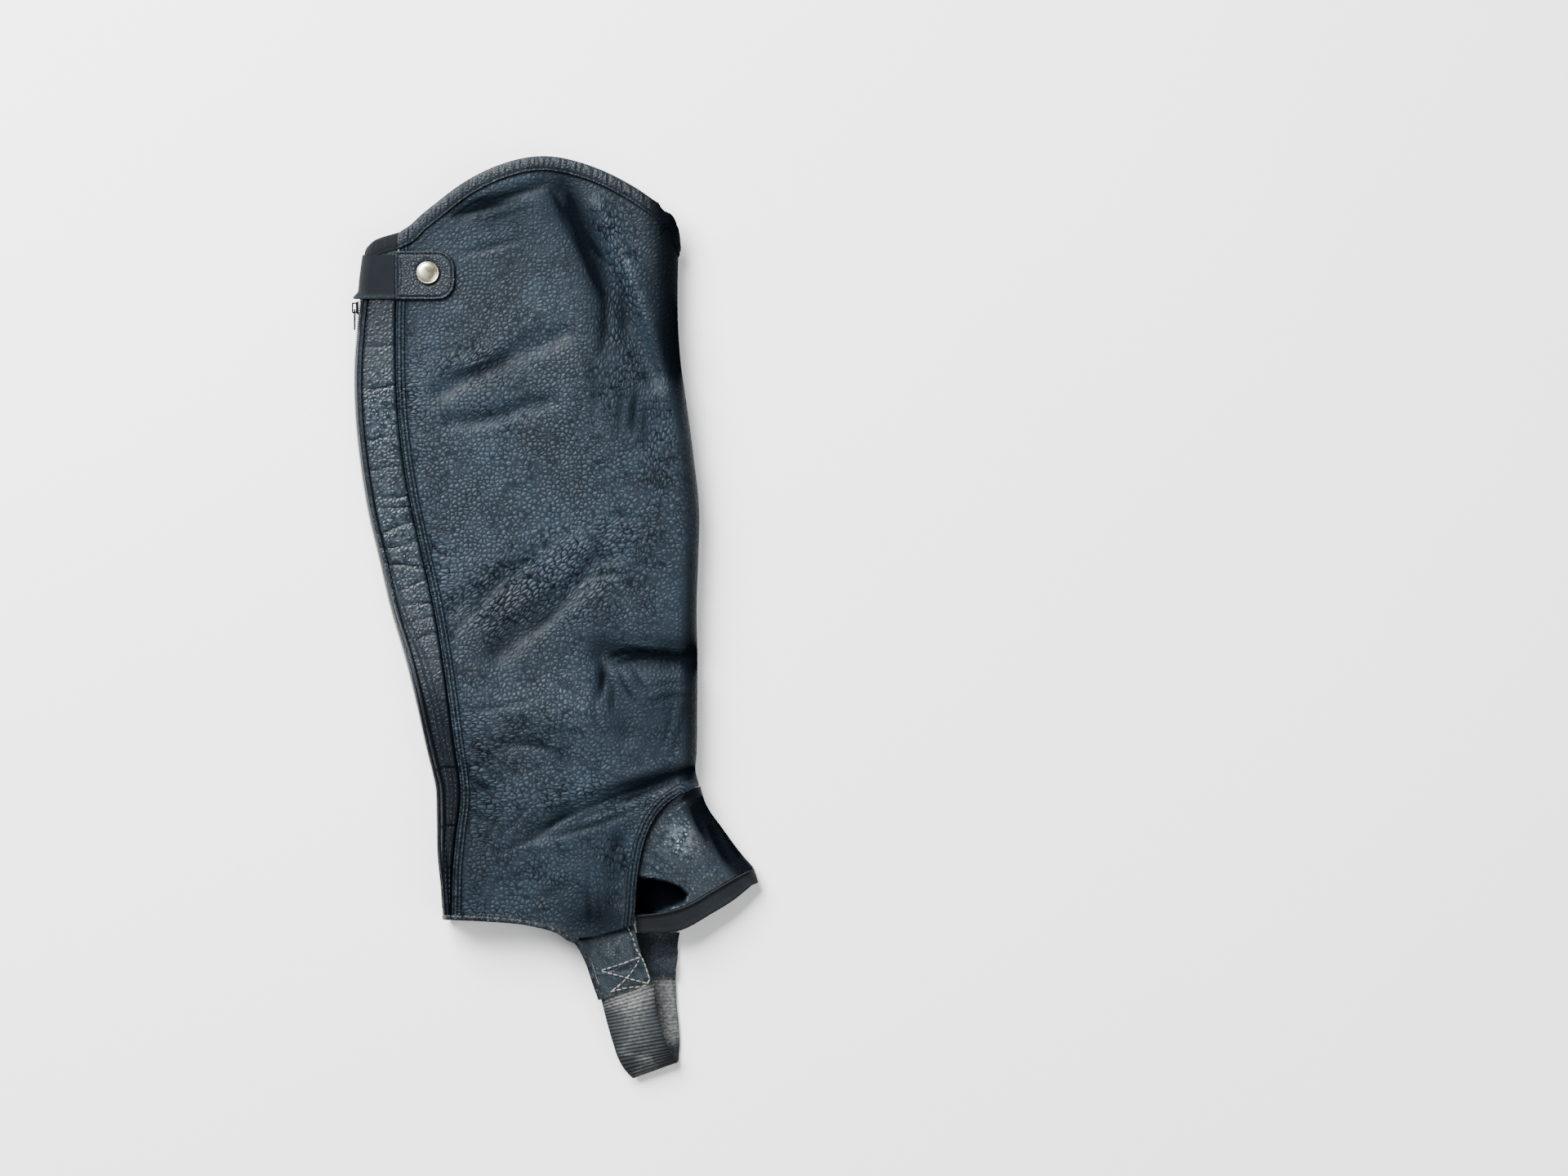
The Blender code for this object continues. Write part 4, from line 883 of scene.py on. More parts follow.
class Signal:
    """A shader value; arithmetic on it adds Math nodes to its tree."""

    def __init__(self, nodes: "Nodes", socket: bpy.types.NodeSocket) -> None:
        """Keeps a socket and the tree that it is in."""
        self.nodes = nodes
        self.socket = socket

    def __add__(self, other: object) -> "Signal":
        """Sum."""
        return self.nodes.math("ADD", self, other)

    def __mul__(self, other: object) -> "Signal":
        """Product."""
        return self.nodes.math("MULTIPLY", self, other)

    def __sub__(self, other: object) -> "Signal":
        """Difference."""
        return self.nodes.math("SUBTRACT", self, other)

    def __rsub__(self, other: object) -> "Signal":
        """Difference from a number."""
        return self.nodes.math("SUBTRACT", other, self)

    def __rtruediv__(self, other: object) -> "Signal":
        """Quotient of a number by it."""
        return self.nodes.math("DIVIDE", other, self)

    def most(self, other: object) -> "Signal":
        """The larger of it and another."""
        return self.nodes.math("MAXIMUM", self, other)

    def held(self) -> "Signal":
        """Holds this Math node's result in 0 to 1."""
        self.socket.node.use_clamp = True
        return self

    def ramp(self, low: float, high: float) -> "Signal":
        """Soft step from 0 at low to 1 at high."""
        return self.nodes.add("MapRange", {"Value": self, "From Min": low, "From Max": high},
                              interpolation_type="SMOOTHSTEP")["Result"]


class Outputs:
    """The outputs of a node, read by name or number as signals."""

    def __init__(self, nodes: "Nodes", node: bpy.types.Node) -> None:
        """Keeps a node and the tree that it is in."""
        self.nodes = nodes
        self.node = node

    def __getitem__(self, key: str | int) -> Signal:
        """One output."""
        return Signal(self.nodes, self.node.outputs[key])


class Nodes:
    """Adds shader nodes to a tree in few words."""

    def __init__(self, tree: bpy.types.NodeTree) -> None:
        """Keeps the tree."""
        self.tree = tree

    def set(self, node: bpy.types.Node, inputs: dict) -> None:
        """Fills a node's inputs.

        Args:
            node: The node.
            inputs: Socket name or number to a value or a signal.
        """
        for key, value in inputs.items():
            if isinstance(value, Signal):
                self.tree.links.new(value.socket, node.inputs[key])
            else:
                node.inputs[key].default_value = value

    def add(self, kind: str, inputs: dict | None = None, **options: object) -> Outputs:
        """Adds one node.

        Args:
            kind: Node type without the ShaderNode prefix.
            inputs: Socket name or number to a value or a signal.
            **options: Node settings.

        Returns:
            Its outputs.
        """
        node = self.tree.nodes.new(f"ShaderNode{kind}")
        for name, value in options.items():
            setattr(node, name, value)
        self.set(node, inputs or {})
        return Outputs(self, node)

    def math(self, operation: str, a: object, b: object = 0.5) -> Signal:
        """Adds a Math node of two values or signals."""
        return self.add("Math", {0: a, 1: b}, operation=operation)[0]

    def mix(self, share: object, a: object, b: object) -> Signal:
        """Mixes two colours, share being the second's."""
        return self.add("Mix", {0: share, 6: a, 7: b}, data_type="RGBA")[2]

    def vector(self, operation: str, inputs: dict) -> Signal:
        """Adds a Vector Math node."""
        return self.add("VectorMath", inputs, operation=operation)[0]

    def noise(self, place: Signal, scale: object, detail: float, **more: float) -> Outputs:
        """Adds a noise texture, with more of its inputs by name."""
        return self.add("TexNoise", {"Vector": place, "Scale": scale, "Detail": detail, **more})

    def attribute(self, name: str) -> Signal:
        """Reads one of a mesh's own attributes."""
        return self.add("Attribute", attribute_name=name)["Fac"]


def shader_group(name: str, inputs: dict[str, float | None], outputs: str,
                 fill: Callable[[Nodes, Outputs], tuple]) -> bpy.types.NodeTree:
    """Makes a shader node group.

    Args:
        name: Its name.
        inputs: Name and default of each number it takes; a vector has none.
        outputs: Names of the numbers it gives.
        fill: Adds the inner nodes and returns the outputs' signals in order.

    Returns:
        The group.
    """
    tree = bpy.data.node_groups.new(name, "ShaderNodeTree")
    for key, value in inputs.items():
        kind = "Vector" if value is None else "Float"
        socket = tree.interface.new_socket(key, in_out="INPUT", socket_type=f"NodeSocket{kind}")
        if value is not None:
            socket.default_value = value
    for key in outputs.split():
        tree.interface.new_socket(key, in_out="OUTPUT", socket_type="NodeSocketFloat")
    nodes = Nodes(tree)
    entry, leave = tree.nodes.new("NodeGroupInput"), tree.nodes.new("NodeGroupOutput")
    nodes.set(leave, dict(zip(outputs.split(), fill(nodes, Outputs(nodes, entry)))))
    return tree


class Effects:
    """Shader node groups that several materials share."""

    def __init__(self) -> None:
        """Makes every group."""
        pebbles = {"Vector": None, "Cell": 2.4}
        self.cells = shader_group("cells", pebbles, "Edge", self._cells)
        self.grain = shader_group("leather_grain", {**pebbles, "Up": 0.0, "Across": 0.0, "Slant": 0.0},
                                  "Height Line Crown", self._grain)
        self.mottle = shader_group("mottle", {"Vector": None, "Size": 40.0}, "Broad Fine", self._mottle)
        self.weave = shader_group("weave", {"Vector": None, "Pitch": 0.7, "Slant": 0.35}, "Height Yarn",
                                  self._weave)
        self.seams = shader_group("seam_lines", {"Distance": 20.0}, "Line", self._seams)

    @staticmethod
    def _cells(n: Nodes, entry: Outputs) -> tuple:
        """Pebbles: distance to the nearest line between them."""
        return (n.add("TexVoronoi", {"Vector": entry["Vector"], "Scale": 1000.0 / entry["Cell"],
                                     "Randomness": 0.82}, feature="DISTANCE_TO_EDGE")["Distance"],)

    def _grain(self, n: Nodes, entry: Outputs) -> tuple:
        """Pebbled grain, drawn out where asked: its height, its lines and its shiny crowns, which take
        painted glints.

        Args:
            n: Adds the nodes.
            entry: The group's inputs.

        Returns:
            The outputs' signals.
        """
        def edge_at(place: Signal) -> Signal:
            """Pebbles at a place."""
            return n.add("Group", {"Vector": place, "Cell": entry["Cell"]}, node_tree=self.cells)["Edge"]

        place = vector = entry["Vector"]
        for scale, amount in GRAIN_WARPS:
            warp = n.noise(vector, scale, 1.0)["Color"]
            moved = n.vector("SUBTRACT", {0: warp, 1: (0.5, 0.5, 0.5)})
            place = n.vector("ADD", {0: place, 1: n.vector("SCALE", {0: moved, "Scale": amount})})
        edge, drawn = edge_at(place), None
        for key, (turn, stretch) in GRAIN_STRETCHES.items():
            turned = n.add("VectorRotate", {"Vector": place, "Angle": turn}, rotation_type="Z_AXIS")[0]
            lone = edge_at(n.vector("MULTIPLY", {0: turned, 1: stretch}))
            edge = n.add("Mix", {0: entry[key], 2: edge, 3: lone})[0]
            drawn = entry[key] if drawn is None else drawn + entry[key]
        patchy = n.noise(vector, 120.0, 2.0)["Fac"].ramp(0.36, 0.62)
        strong = (drawn * 0.4 + 0.66).held()
        line = ((1.0 - edge.ramp(0.02, 0.2)) * (patchy * 0.4 + 0.6)).held() * strong
        pore = n.noise(vector, 1500.0, 2.0)["Fac"]
        height = (edge.ramp(0.0, 0.46) + pore * 0.10) * strong
        spot = n.noise(vector, 420.0, 1.0)["Fac"]
        return height, line, edge.ramp(0.16, 0.36) * spot.ramp(0.52, 0.66)

    @staticmethod
    def _seams(n: Nodes, entry: Outputs) -> tuple:
        """Painted shade: dark lines in the channel and grooves beside a topstitched seam.

        Args:
            n: Adds the nodes.
            entry: The group's inputs.

        Returns:
            The outputs' signals.
        """
        whole = None
        for place in SEAM_LINES:
            line = 1.0 - n.math("ABSOLUTE", entry["Distance"] - place).ramp(0.12, 0.55)
            whole = line if whole is None else whole.most(line)
        return (whole,)

    @staticmethod
    def _mottle(n: Nodes, entry: Outputs) -> tuple:
        """Broad clouds and fine blotches.

        Args:
            n: Adds the nodes.
            entry: The group's inputs.

        Returns:
            The outputs' signals.
        """
        scale = 1000.0 / entry["Size"]
        broad = n.noise(entry["Vector"], scale, 4.0, Roughness=0.6)["Fac"]
        fine = n.noise(entry["Vector"], scale * 9.0, 5.0, Roughness=0.7)["Fac"]
        return broad.ramp(0.35, 0.65), fine.ramp(0.38, 0.66)

    @staticmethod
    def _weave(n: Nodes, entry: Outputs) -> tuple:
        """Crossing yarns: their height and the share of the warp.

        Args:
            n: Adds the nodes.
            entry: The group's inputs.

        Returns:
            The outputs' signals.
        """
        parts = n.add("SeparateXYZ", {0: entry["Vector"]})
        turn = 2000 * math.pi / entry["Pitch"]
        warp = n.math("SINE", (parts["X"] + parts["Y"] * entry["Slant"]) * turn)
        weft = n.math("SINE", parts["Y"] * turn)
        return (warp * weft + 1.0) * 0.5, (warp + 1.0) * 0.5


class Dye:
    """A new material, its shader, and what every finish reads."""

    def __init__(self, name: str) -> None:
        """Makes a plain material.

        Args:
            name: Its name.
        """
        self.material = bpy.data.materials.new(name)
        self.material.use_nodes = True
        self.n = Nodes(self.material.node_tree)
        self.shader = self.material.node_tree.nodes["Principled BSDF"]
        self.coords = self.n.add("TexCoord")

    def mottle(self, effects: Effects, size: float) -> Outputs:
        """Clouds and blotches of a size in millimetres."""
        return self.n.add("Group", {"Vector": self.coords["Object"], "Size": size},
                          node_tree=effects.mottle)

    def finish(self, height: Signal, strength: float, depth: float, inputs: dict) -> bpy.types.Material:
        """Raises the surface and fills the shader.

        Args:
            height: Height of the relief.
            strength: Its strength.
            depth: Its depth in millimetres.
            inputs: The shader's other inputs.

        Returns:
            The material.
        """
        raised = self.n.add("Bump", {"Height": height, "Strength": strength, "Distance": depth * MM})
        self.n.set(self.shader, {"Normal": raised["Normal"], **inputs})
        return self.material


@dataclass(frozen=True)
class Leather:
    """A dyed leather finish."""

    name: str
    low: Tint
    high: Tint
    roughness: float
    cell: float
    depth: float
    # Share of painted glints on the pebble crowns
    crown: float = 0.5
    gloss: float = 0.35
    # Pale tint of worn places, of painted highlights and of painted glints
    scuff_and_glint: Tint = Tint(0.085, 0.115, 0.140)
    line: float = 0.8
    drawn: bool = False

    def make(self, effects: Effects) -> bpy.types.Material:
        """Builds the material.

        Args:
            effects: Shared node groups.

        Returns:
            The material.
        """
        dye = Dye(self.name)
        n = dye.n
        kinds = zip(("Up", "Across", "Slant"), GRAIN_KINDS) if self.drawn else ()
        grain = n.add("Group", {"Vector": dye.coords["Object"], "Cell": self.cell,
                                **{key: n.attribute(name) for key, name in kinds}},
                      node_tree=effects.grain)
        mottle = dye.mottle(effects, 38.0)
        shade, wear = n.attribute("shade"), n.attribute("wear")
        tone = (grain["Height"] * 0.42 + mottle["Broad"] * 0.34).held()
        colour = n.mix(tone, self.low.rgba(), self.high.rgba())
        # Worn places and painted highlights, with painted glints on the pebble crowns, turn towards the
        # pale tint
        rubbed = (wear * (grain["Crown"] * 0.8 + mottle["Fine"] * 0.25)).held()
        colour = n.mix(rubbed, colour, self.scuff_and_glint.rgba())
        # Painted glints on the pebble crowns, in the pale tint
        colour = n.mix(grain["Crown"] * (self.crown * 0.25), colour, self.scuff_and_glint.rgba())
        # Painted shade, with the grain's own dark lines, darkens towards near black
        dark = shade.most(grain["Line"] * self.line)
        relief = grain["Height"] * self.depth
        if self.drawn:
            # Painted shade in the grooves beside the topstitched seams
            seam = n.add("Group", {"Distance": n.attribute("seam")}, node_tree=effects.seams)["Line"]
            dark = dark.most(seam * 0.74)
            relief = relief - seam * 0.5
        colour = n.mix((dark * 0.95).held(), colour, (0.0015, 0.002, 0.0028, 1.0))
        rough = mottle["Fine"] * 0.10 + self.roughness - wear * 0.16
        return dye.finish(relief, 1.0, 1.0, {
            "Base Color": colour, "Roughness": (rough - grain["Crown"] * 0.10).held(),
            "Specular IOR Level": (1.0 - dark).held() * self.gloss})


@dataclass(frozen=True)
class Textile:
    """A woven tape, elastic or thread finish."""

    name: str
    low: Tint
    high: Tint
    pitch: float
    worn: Tint
    depth: float = 0.25

    def make(self, effects: Effects) -> bpy.types.Material:
        """Builds the material.

        Args:
            effects: Shared node groups.

        Returns:
            The material.
        """
        dye = Dye(self.name)
        n = dye.n
        weave = n.add("Group", {"Vector": dye.coords["UV"], "Pitch": self.pitch}, node_tree=effects.weave)
        mottle = dye.mottle(effects, 16.0)
        tone = (weave["Yarn"] + mottle["Broad"]) * 0.5
        colour = n.mix(tone, self.low.rgba(), self.high.rgba())
        # Worn places and the painted highlights along the strip binding turn the yarn towards the worn
        # tint
        rubbed = n.attribute("wear") * (mottle["Fine"] * 0.75 + 0.25) * weave["Height"]
        colour = n.mix((rubbed * 1.7).held(), colour, self.worn.rgba())
        # Painted shade darkens towards near black
        dark = (n.attribute("shade") * 0.9).held()
        return dye.finish(weave["Height"], 0.8, self.depth, {
            "Base Color": n.mix(dark, colour, (0.004, 0.005, 0.006, 1.0)),
            "Roughness": mottle["Fine"] * 0.1 + 0.78, "Specular IOR Level": 0.12, "Sheen Weight": 0.04})


@dataclass(frozen=True)
class Metal:
    """A plated metal finish."""

    name: str
    bright: Tint
    tarnish: Tint
    roughness: float

    def make(self, effects: Effects) -> bpy.types.Material:
        """Builds the material.

        Args:
            effects: Shared node groups.

        Returns:
            The material.
        """
        dye = Dye(self.name)
        mottle = dye.mottle(effects, 9.0)
        scratch = dye.n.noise(dye.coords["Object"], 2200.0, 2.0)["Fac"]
        colour = dye.n.mix(mottle["Fine"] * 0.45, self.bright.rgba(), self.tarnish.rgba())
        return dye.finish(scratch, 0.06, 0.05, {
            "Base Color": colour, "Roughness": mottle["Broad"] * 0.14 + self.roughness, "Metallic": 1.0})


class Finish(Enum):
    """Every finish of the chap."""

    PEBBLED = Leather("pebbled_leather", Tint(0.0034, 0.0072, 0.0118), Tint(0.0165, 0.0312, 0.047),
                      0.48, 2.7, 0.4, 0.0, 0.21, line=0.95, drawn=True)
    BINDING = Leather("binding_leather", Tint(0.002, 0.0042, 0.0072), Tint(0.0084, 0.0156, 0.024),
                      0.46, 1.8, 0.3, 0.2, 0.25)
    STRIP = Leather("strip_leather", Tint(0.0032, 0.006, 0.0092), Tint(0.012, 0.021, 0.03),
                    0.36, 2.4, 0.25, 0.25, 0.34, line=0.5)
    GUSSET = Leather("gusset_leather", Tint(0.003, 0.0066, 0.0108), Tint(0.0135, 0.0255, 0.0385),
                     0.4, 2.2, 0.22, 0.2, 0.32, Tint(0.3, 0.36, 0.4), line=0.7)
    TAB = Leather("tab_leather", Tint(0.0042, 0.0082, 0.012), Tint(0.0155, 0.027, 0.038),
                  0.44, 1.6, 0.2, 0.2, 0.3, Tint(0.15, 0.16, 0.16), line=0.5)
    HEM = Leather("hem_leather", Tint(0.0015, 0.0022, 0.0033), Tint(0.0075, 0.0105, 0.0145),
                  0.5, 1.6, 0.2, 0.3, 0.25)
    ROUGH = Leather("rough_leather", Tint(0.005, 0.007, 0.009), Tint(0.026, 0.035, 0.043),
                    0.8, 1.3, 0.4, 0.3, 0.15)
    WEBBING = Textile("binding_webbing", Tint(0.001, 0.0016, 0.0024), Tint(0.005, 0.0072, 0.0098),
                      1.1, Tint(0.024, 0.03, 0.036), 0.4)
    BAND = Textile("band_elastic", Tint(0.001, 0.0018, 0.0028), Tint(0.0028, 0.0044, 0.0064), 0.6,
                   Tint(0.016, 0.023, 0.031), 0.12)
    ELASTIC = Textile("ribbed_elastic", Tint(0.007, 0.0095, 0.0115), Tint(0.033, 0.039, 0.043),
                      1.0, Tint(0.26, 0.27, 0.26), 0.3)
    TAPE = Textile("zip_tape", Tint(0.003, 0.004, 0.005), Tint(0.01, 0.012, 0.015), 0.8,
                   Tint(0.03, 0.03, 0.03), 0.2)
    COIL = Textile("zip_coil", Tint(0.004, 0.005, 0.006), Tint(0.015, 0.017, 0.02), 0.5,
                   Tint(0.04, 0.04, 0.04), 0.05)
    THREAD = Textile("dark_thread", Tint(0.002, 0.003, 0.005), Tint(0.009, 0.013, 0.018), 0.5,
                     Tint(0.03, 0.04, 0.05), 0.1)
    WORN_THREAD = Textile("worn_thread", Tint(0.06, 0.07, 0.07), Tint(0.22, 0.22, 0.21), 0.5,
                          Tint(0.4, 0.39, 0.36), 0.1)
    NICKEL = Metal("worn_nickel", Tint(0.007, 0.0075, 0.008), Tint(0.003, 0.003, 0.003), 0.62)
    CAP = Metal("cap_metal", Tint(0.62, 0.59, 0.44), Tint(0.3, 0.27, 0.17), 0.22)


class Held(Enum):
    """How a sheet of cloth is held."""

    LAID = "laid"
    STRETCHED = "stretched"


@dataclass(frozen=True)
class Cut:
    """Size that a piece of cloth is cut to, in metres, and how it is held."""

    width: float
    length: float
    area: float
    held: Held = Held.LAID


class Workshop:
    """Makes the finished objects: materials once, meshes, and their places in the frame."""

    def __init__(self) -> None:
        """Makes every material once."""
        effects = Effects()
        self.materials = {finish: finish.value.make(effects) for finish in Finish}

    def place(self, piece: Piece, nodes: Sequence[str], slot: str | None,
              body: str = "half_chap") -> Piece:
        """Lets a piece ride on the frame.

        Args:
            piece: The piece.
            nodes: Frame nodes that it stands for.
            slot: The record's material slot, if any; not used.
            body: The body it moves with.

        Returns:
            The piece.
        """
        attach(piece, body)
        if nodes:
            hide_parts(*nodes)
        LOG.info("%s stands for %s", piece.name, ", ".join(nodes) or "no node of its own")
        return piece

    def mesh(self, name: str, points: Array, faces: Sequence, finish: Finish,
             looks: dict[str, Array] | None = None, uv: Array | None = None,
             sharp: float = 50.0) -> Piece:
        """Object from points in millimetres.

        Args:
            name: Its name.
            points: The points.
            faces: Corner numbers of each face.
            finish: Its finish.
            looks: Attribute name to its value at each point; the shade attribute paints shade, the worn
                one paints worn places and painted highlights.
            uv: Flat place of each point, in metres.
            sharp: Angle over which an edge is sharp, in degrees.

        Returns:
            The object.
        """
        data = bpy.data.meshes.new(name)
        data.from_pydata((points * MM).tolist(), [], [tuple(map(int, face)) for face in faces])
        for key in ("shade", "wear", *sorted(set(looks or {}) - {"shade", "wear"})):
            layer = data.attributes.new(key, "FLOAT", "POINT")
            if key in (looks or {}):
                top = SEAM_FAR if key == "seam" else 1.0
                layer.data.foreach_set("value", np.clip(looks[key], 0.0, top).astype(np.float32))
        layer = data.uv_layers.new(name="flat")
        if uv is not None:
            corners = np.zeros(len(data.loops), np.int32)
            data.loops.foreach_get("vertex_index", corners)
            layer.data.foreach_set("uv", uv[corners].astype(np.float32).ravel())
        data.materials.append(self.materials[finish])
        data.shade_smooth()
        data.set_sharp_from_angle(angle=math.radians(sharp))
        piece = bpy.data.objects.new(name, data)
        bpy.context.scene.collection.objects.link(piece)
        return piece


def tube_faces(start: int, rings: int, sides: int) -> list[tuple[int, ...]]:
    """Faces of a closed tube whose rings of corners follow each other.

    Args:
        start: Number of its first corner.
        rings: How many rings it has.
        sides: Corners of a ring.

    Returns:
        Corner numbers of each face.
    """
    faces = []
    for low in range(start, start + (rings - 1) * sides, sides):
        for side in range(sides):
            a, b = low + side, low + (side + 1) % sides
            faces.append((a, b, b + sides, a + sides))
    ends = (tuple(range(first, first + sides)) for first in (start, start + (rings - 1) * sides))
    return [*faces, next(ends)[::-1], next(ends)]


class Sheet:
    """The outer face of a piece of cloth, from grids of points that share edges."""

    def __init__(self, grid: Array | None = None) -> None:
        """Starts a sheet.

        Args:
            grid: Its first grid of points, if any.
        """
        self.points: list[Array] = []
        self.quads: list[Array] = []
        self.flats: list[Array] = []
        self.count = 0
        if grid is not None:
            self.add(grid)

    def add(self, grid: Array, first: Array | None = None) -> Array:
        """Adds a grid of points.

        Args:
            grid: Rows of points.
            first: Numbers of points already here that the grid joins on above its first row.

        Returns:
            The numbers of the grid's points.
        """
        rows, columns = grid.shape[:2]
        numbers = np.arange(self.count, self.count + rows * columns).reshape(rows, columns)
        self.count += rows * columns
        self.points.append(grid.reshape(-1, 3))
        u, v = np.meshgrid(run_of(grid[rows // 2]), run_of(grid[:, columns // 2]))
        self.flats.append(np.stack([u.ravel(), v.ravel()], -1) * MM)
        if first is not None:
            numbers = np.vstack([first, numbers])
        self.quads.append(np.stack([numbers[:-1, :-1], numbers[1:, :-1], numbers[1:, 1:],
                                    numbers[:-1, 1:]], -1).reshape(-1, 4))
        return numbers

    def wall(self, shop: Workshop, name: str, thickness: float, finish: Finish,
             looks: dict[str, Look] | None = None) -> Piece:
        """Closed wall: the outer face, the same face moved in, and a rim all round.

        Args:
            shop: Makes the object.
            name: Its name.
            thickness: The wall.
            finish: Its finish.
            looks: Attribute name to its value at the outer face's points.

        Returns:
            The object.
        """
        points = np.concatenate(self.points)
        points[:, 2] = np.maximum(points[:, 2], 0.0)
        quads = np.concatenate(self.quads)
        cross = np.cross(points[quads[:, 2]] - points[quads[:, 0]],
                         points[quads[:, 3]] - points[quads[:, 1]])
        normals = np.zeros_like(points)
        for corner in range(4):
            np.add.at(normals, quads[:, corner], cross)
        normals /= np.maximum(np.linalg.norm(normals, axis=1, keepdims=True), 1e-9)
        edges = np.concatenate([quads[:, [k, (k + 1) % 4]] for k in range(4)])
        _, place, times = np.unique(np.sort(edges, axis=1), axis=0, return_inverse=True,
                                    return_counts=True)
        rim = edges[times[place.ravel()] == 1]
        count = len(points)
        inner = points - normals * thickness
        inner[:, 2] = np.maximum(inner[:, 2], 0.0)
        faces = np.concatenate([quads, quads[:, ::-1] + count,
                                np.stack([rim[:, 1], rim[:, 0], rim[:, 0] + count,
                                          rim[:, 1] + count], -1)])
        flats = np.concatenate(self.flats)
        twice = {key: np.tile(value(points), 2) for key, value in (looks or {}).items()}
        return shop.mesh(name, np.concatenate([points, inner]), faces, finish, twice,
                         uv=np.concatenate([flats, flats]))


@dataclass
class Stitching:
    """A row of short thread ends that rise from and sink into the leather."""

    shop: Workshop
    name: str
    length: float = 2.2
    gap: float = 0.9
    radius: float = 0.3
    finish: Finish = Finish.THREAD

    def build(self, lines: Sequence[Array]) -> Piece:
        """Lays stitches along lines.

        Args:
            lines: Points of each line, on the surface.

        Returns:
            The object.
        """
        points, faces = [], []
        sides, rings = STITCH_SIDES, STITCH_RINGS
        for line in lines:
            along = run_of(line)
            number = max(int(along[-1] / (self.length + self.gap)), 1)
            for k in range(number):
                middle = (k + 0.5) * along[-1] / number
                spot, ahead = (np.array([np.interp(middle + d, along, line[:, i]) for i in range(3)])
                               for d in (0.0, 0.4))
                ahead = ahead - spot
                ahead /= np.linalg.norm(ahead) + 1e-9
                aside = np.cross([0.0, 0.0, 1.0], ahead)
                aside /= np.linalg.norm(aside) + 1e-9
                up = np.cross(ahead, aside)
                turn = 0.12 * math.sin(7.3 * k)
                start = len(points)
                for ring in rings:
                    share = 1.0 - (abs(ring) / rings[-1]) ** 2
                    core = spot + ahead * ring * self.length + aside * ring * turn
                    core = core + up * self.radius * (1.1 * share - 0.35)
                    size = self.radius * (0.55 + 0.45 * share)
                    for side in range(sides):
                        angle = 2 * math.pi * side / sides
                        points.append(core + size * (aside * math.cos(angle) + up * math.sin(angle)))
                faces += tube_faces(start, len(rings), sides)
        points = np.array(points)
        worn = 0.5 + 0.5 * np.sin(points[:, 1] / 3.1 + points[:, 0] / 1.7)
        return self.shop.mesh(self.name, points, faces, self.finish, {"wear": worn},
                              uv=points[:, :2] * MM)


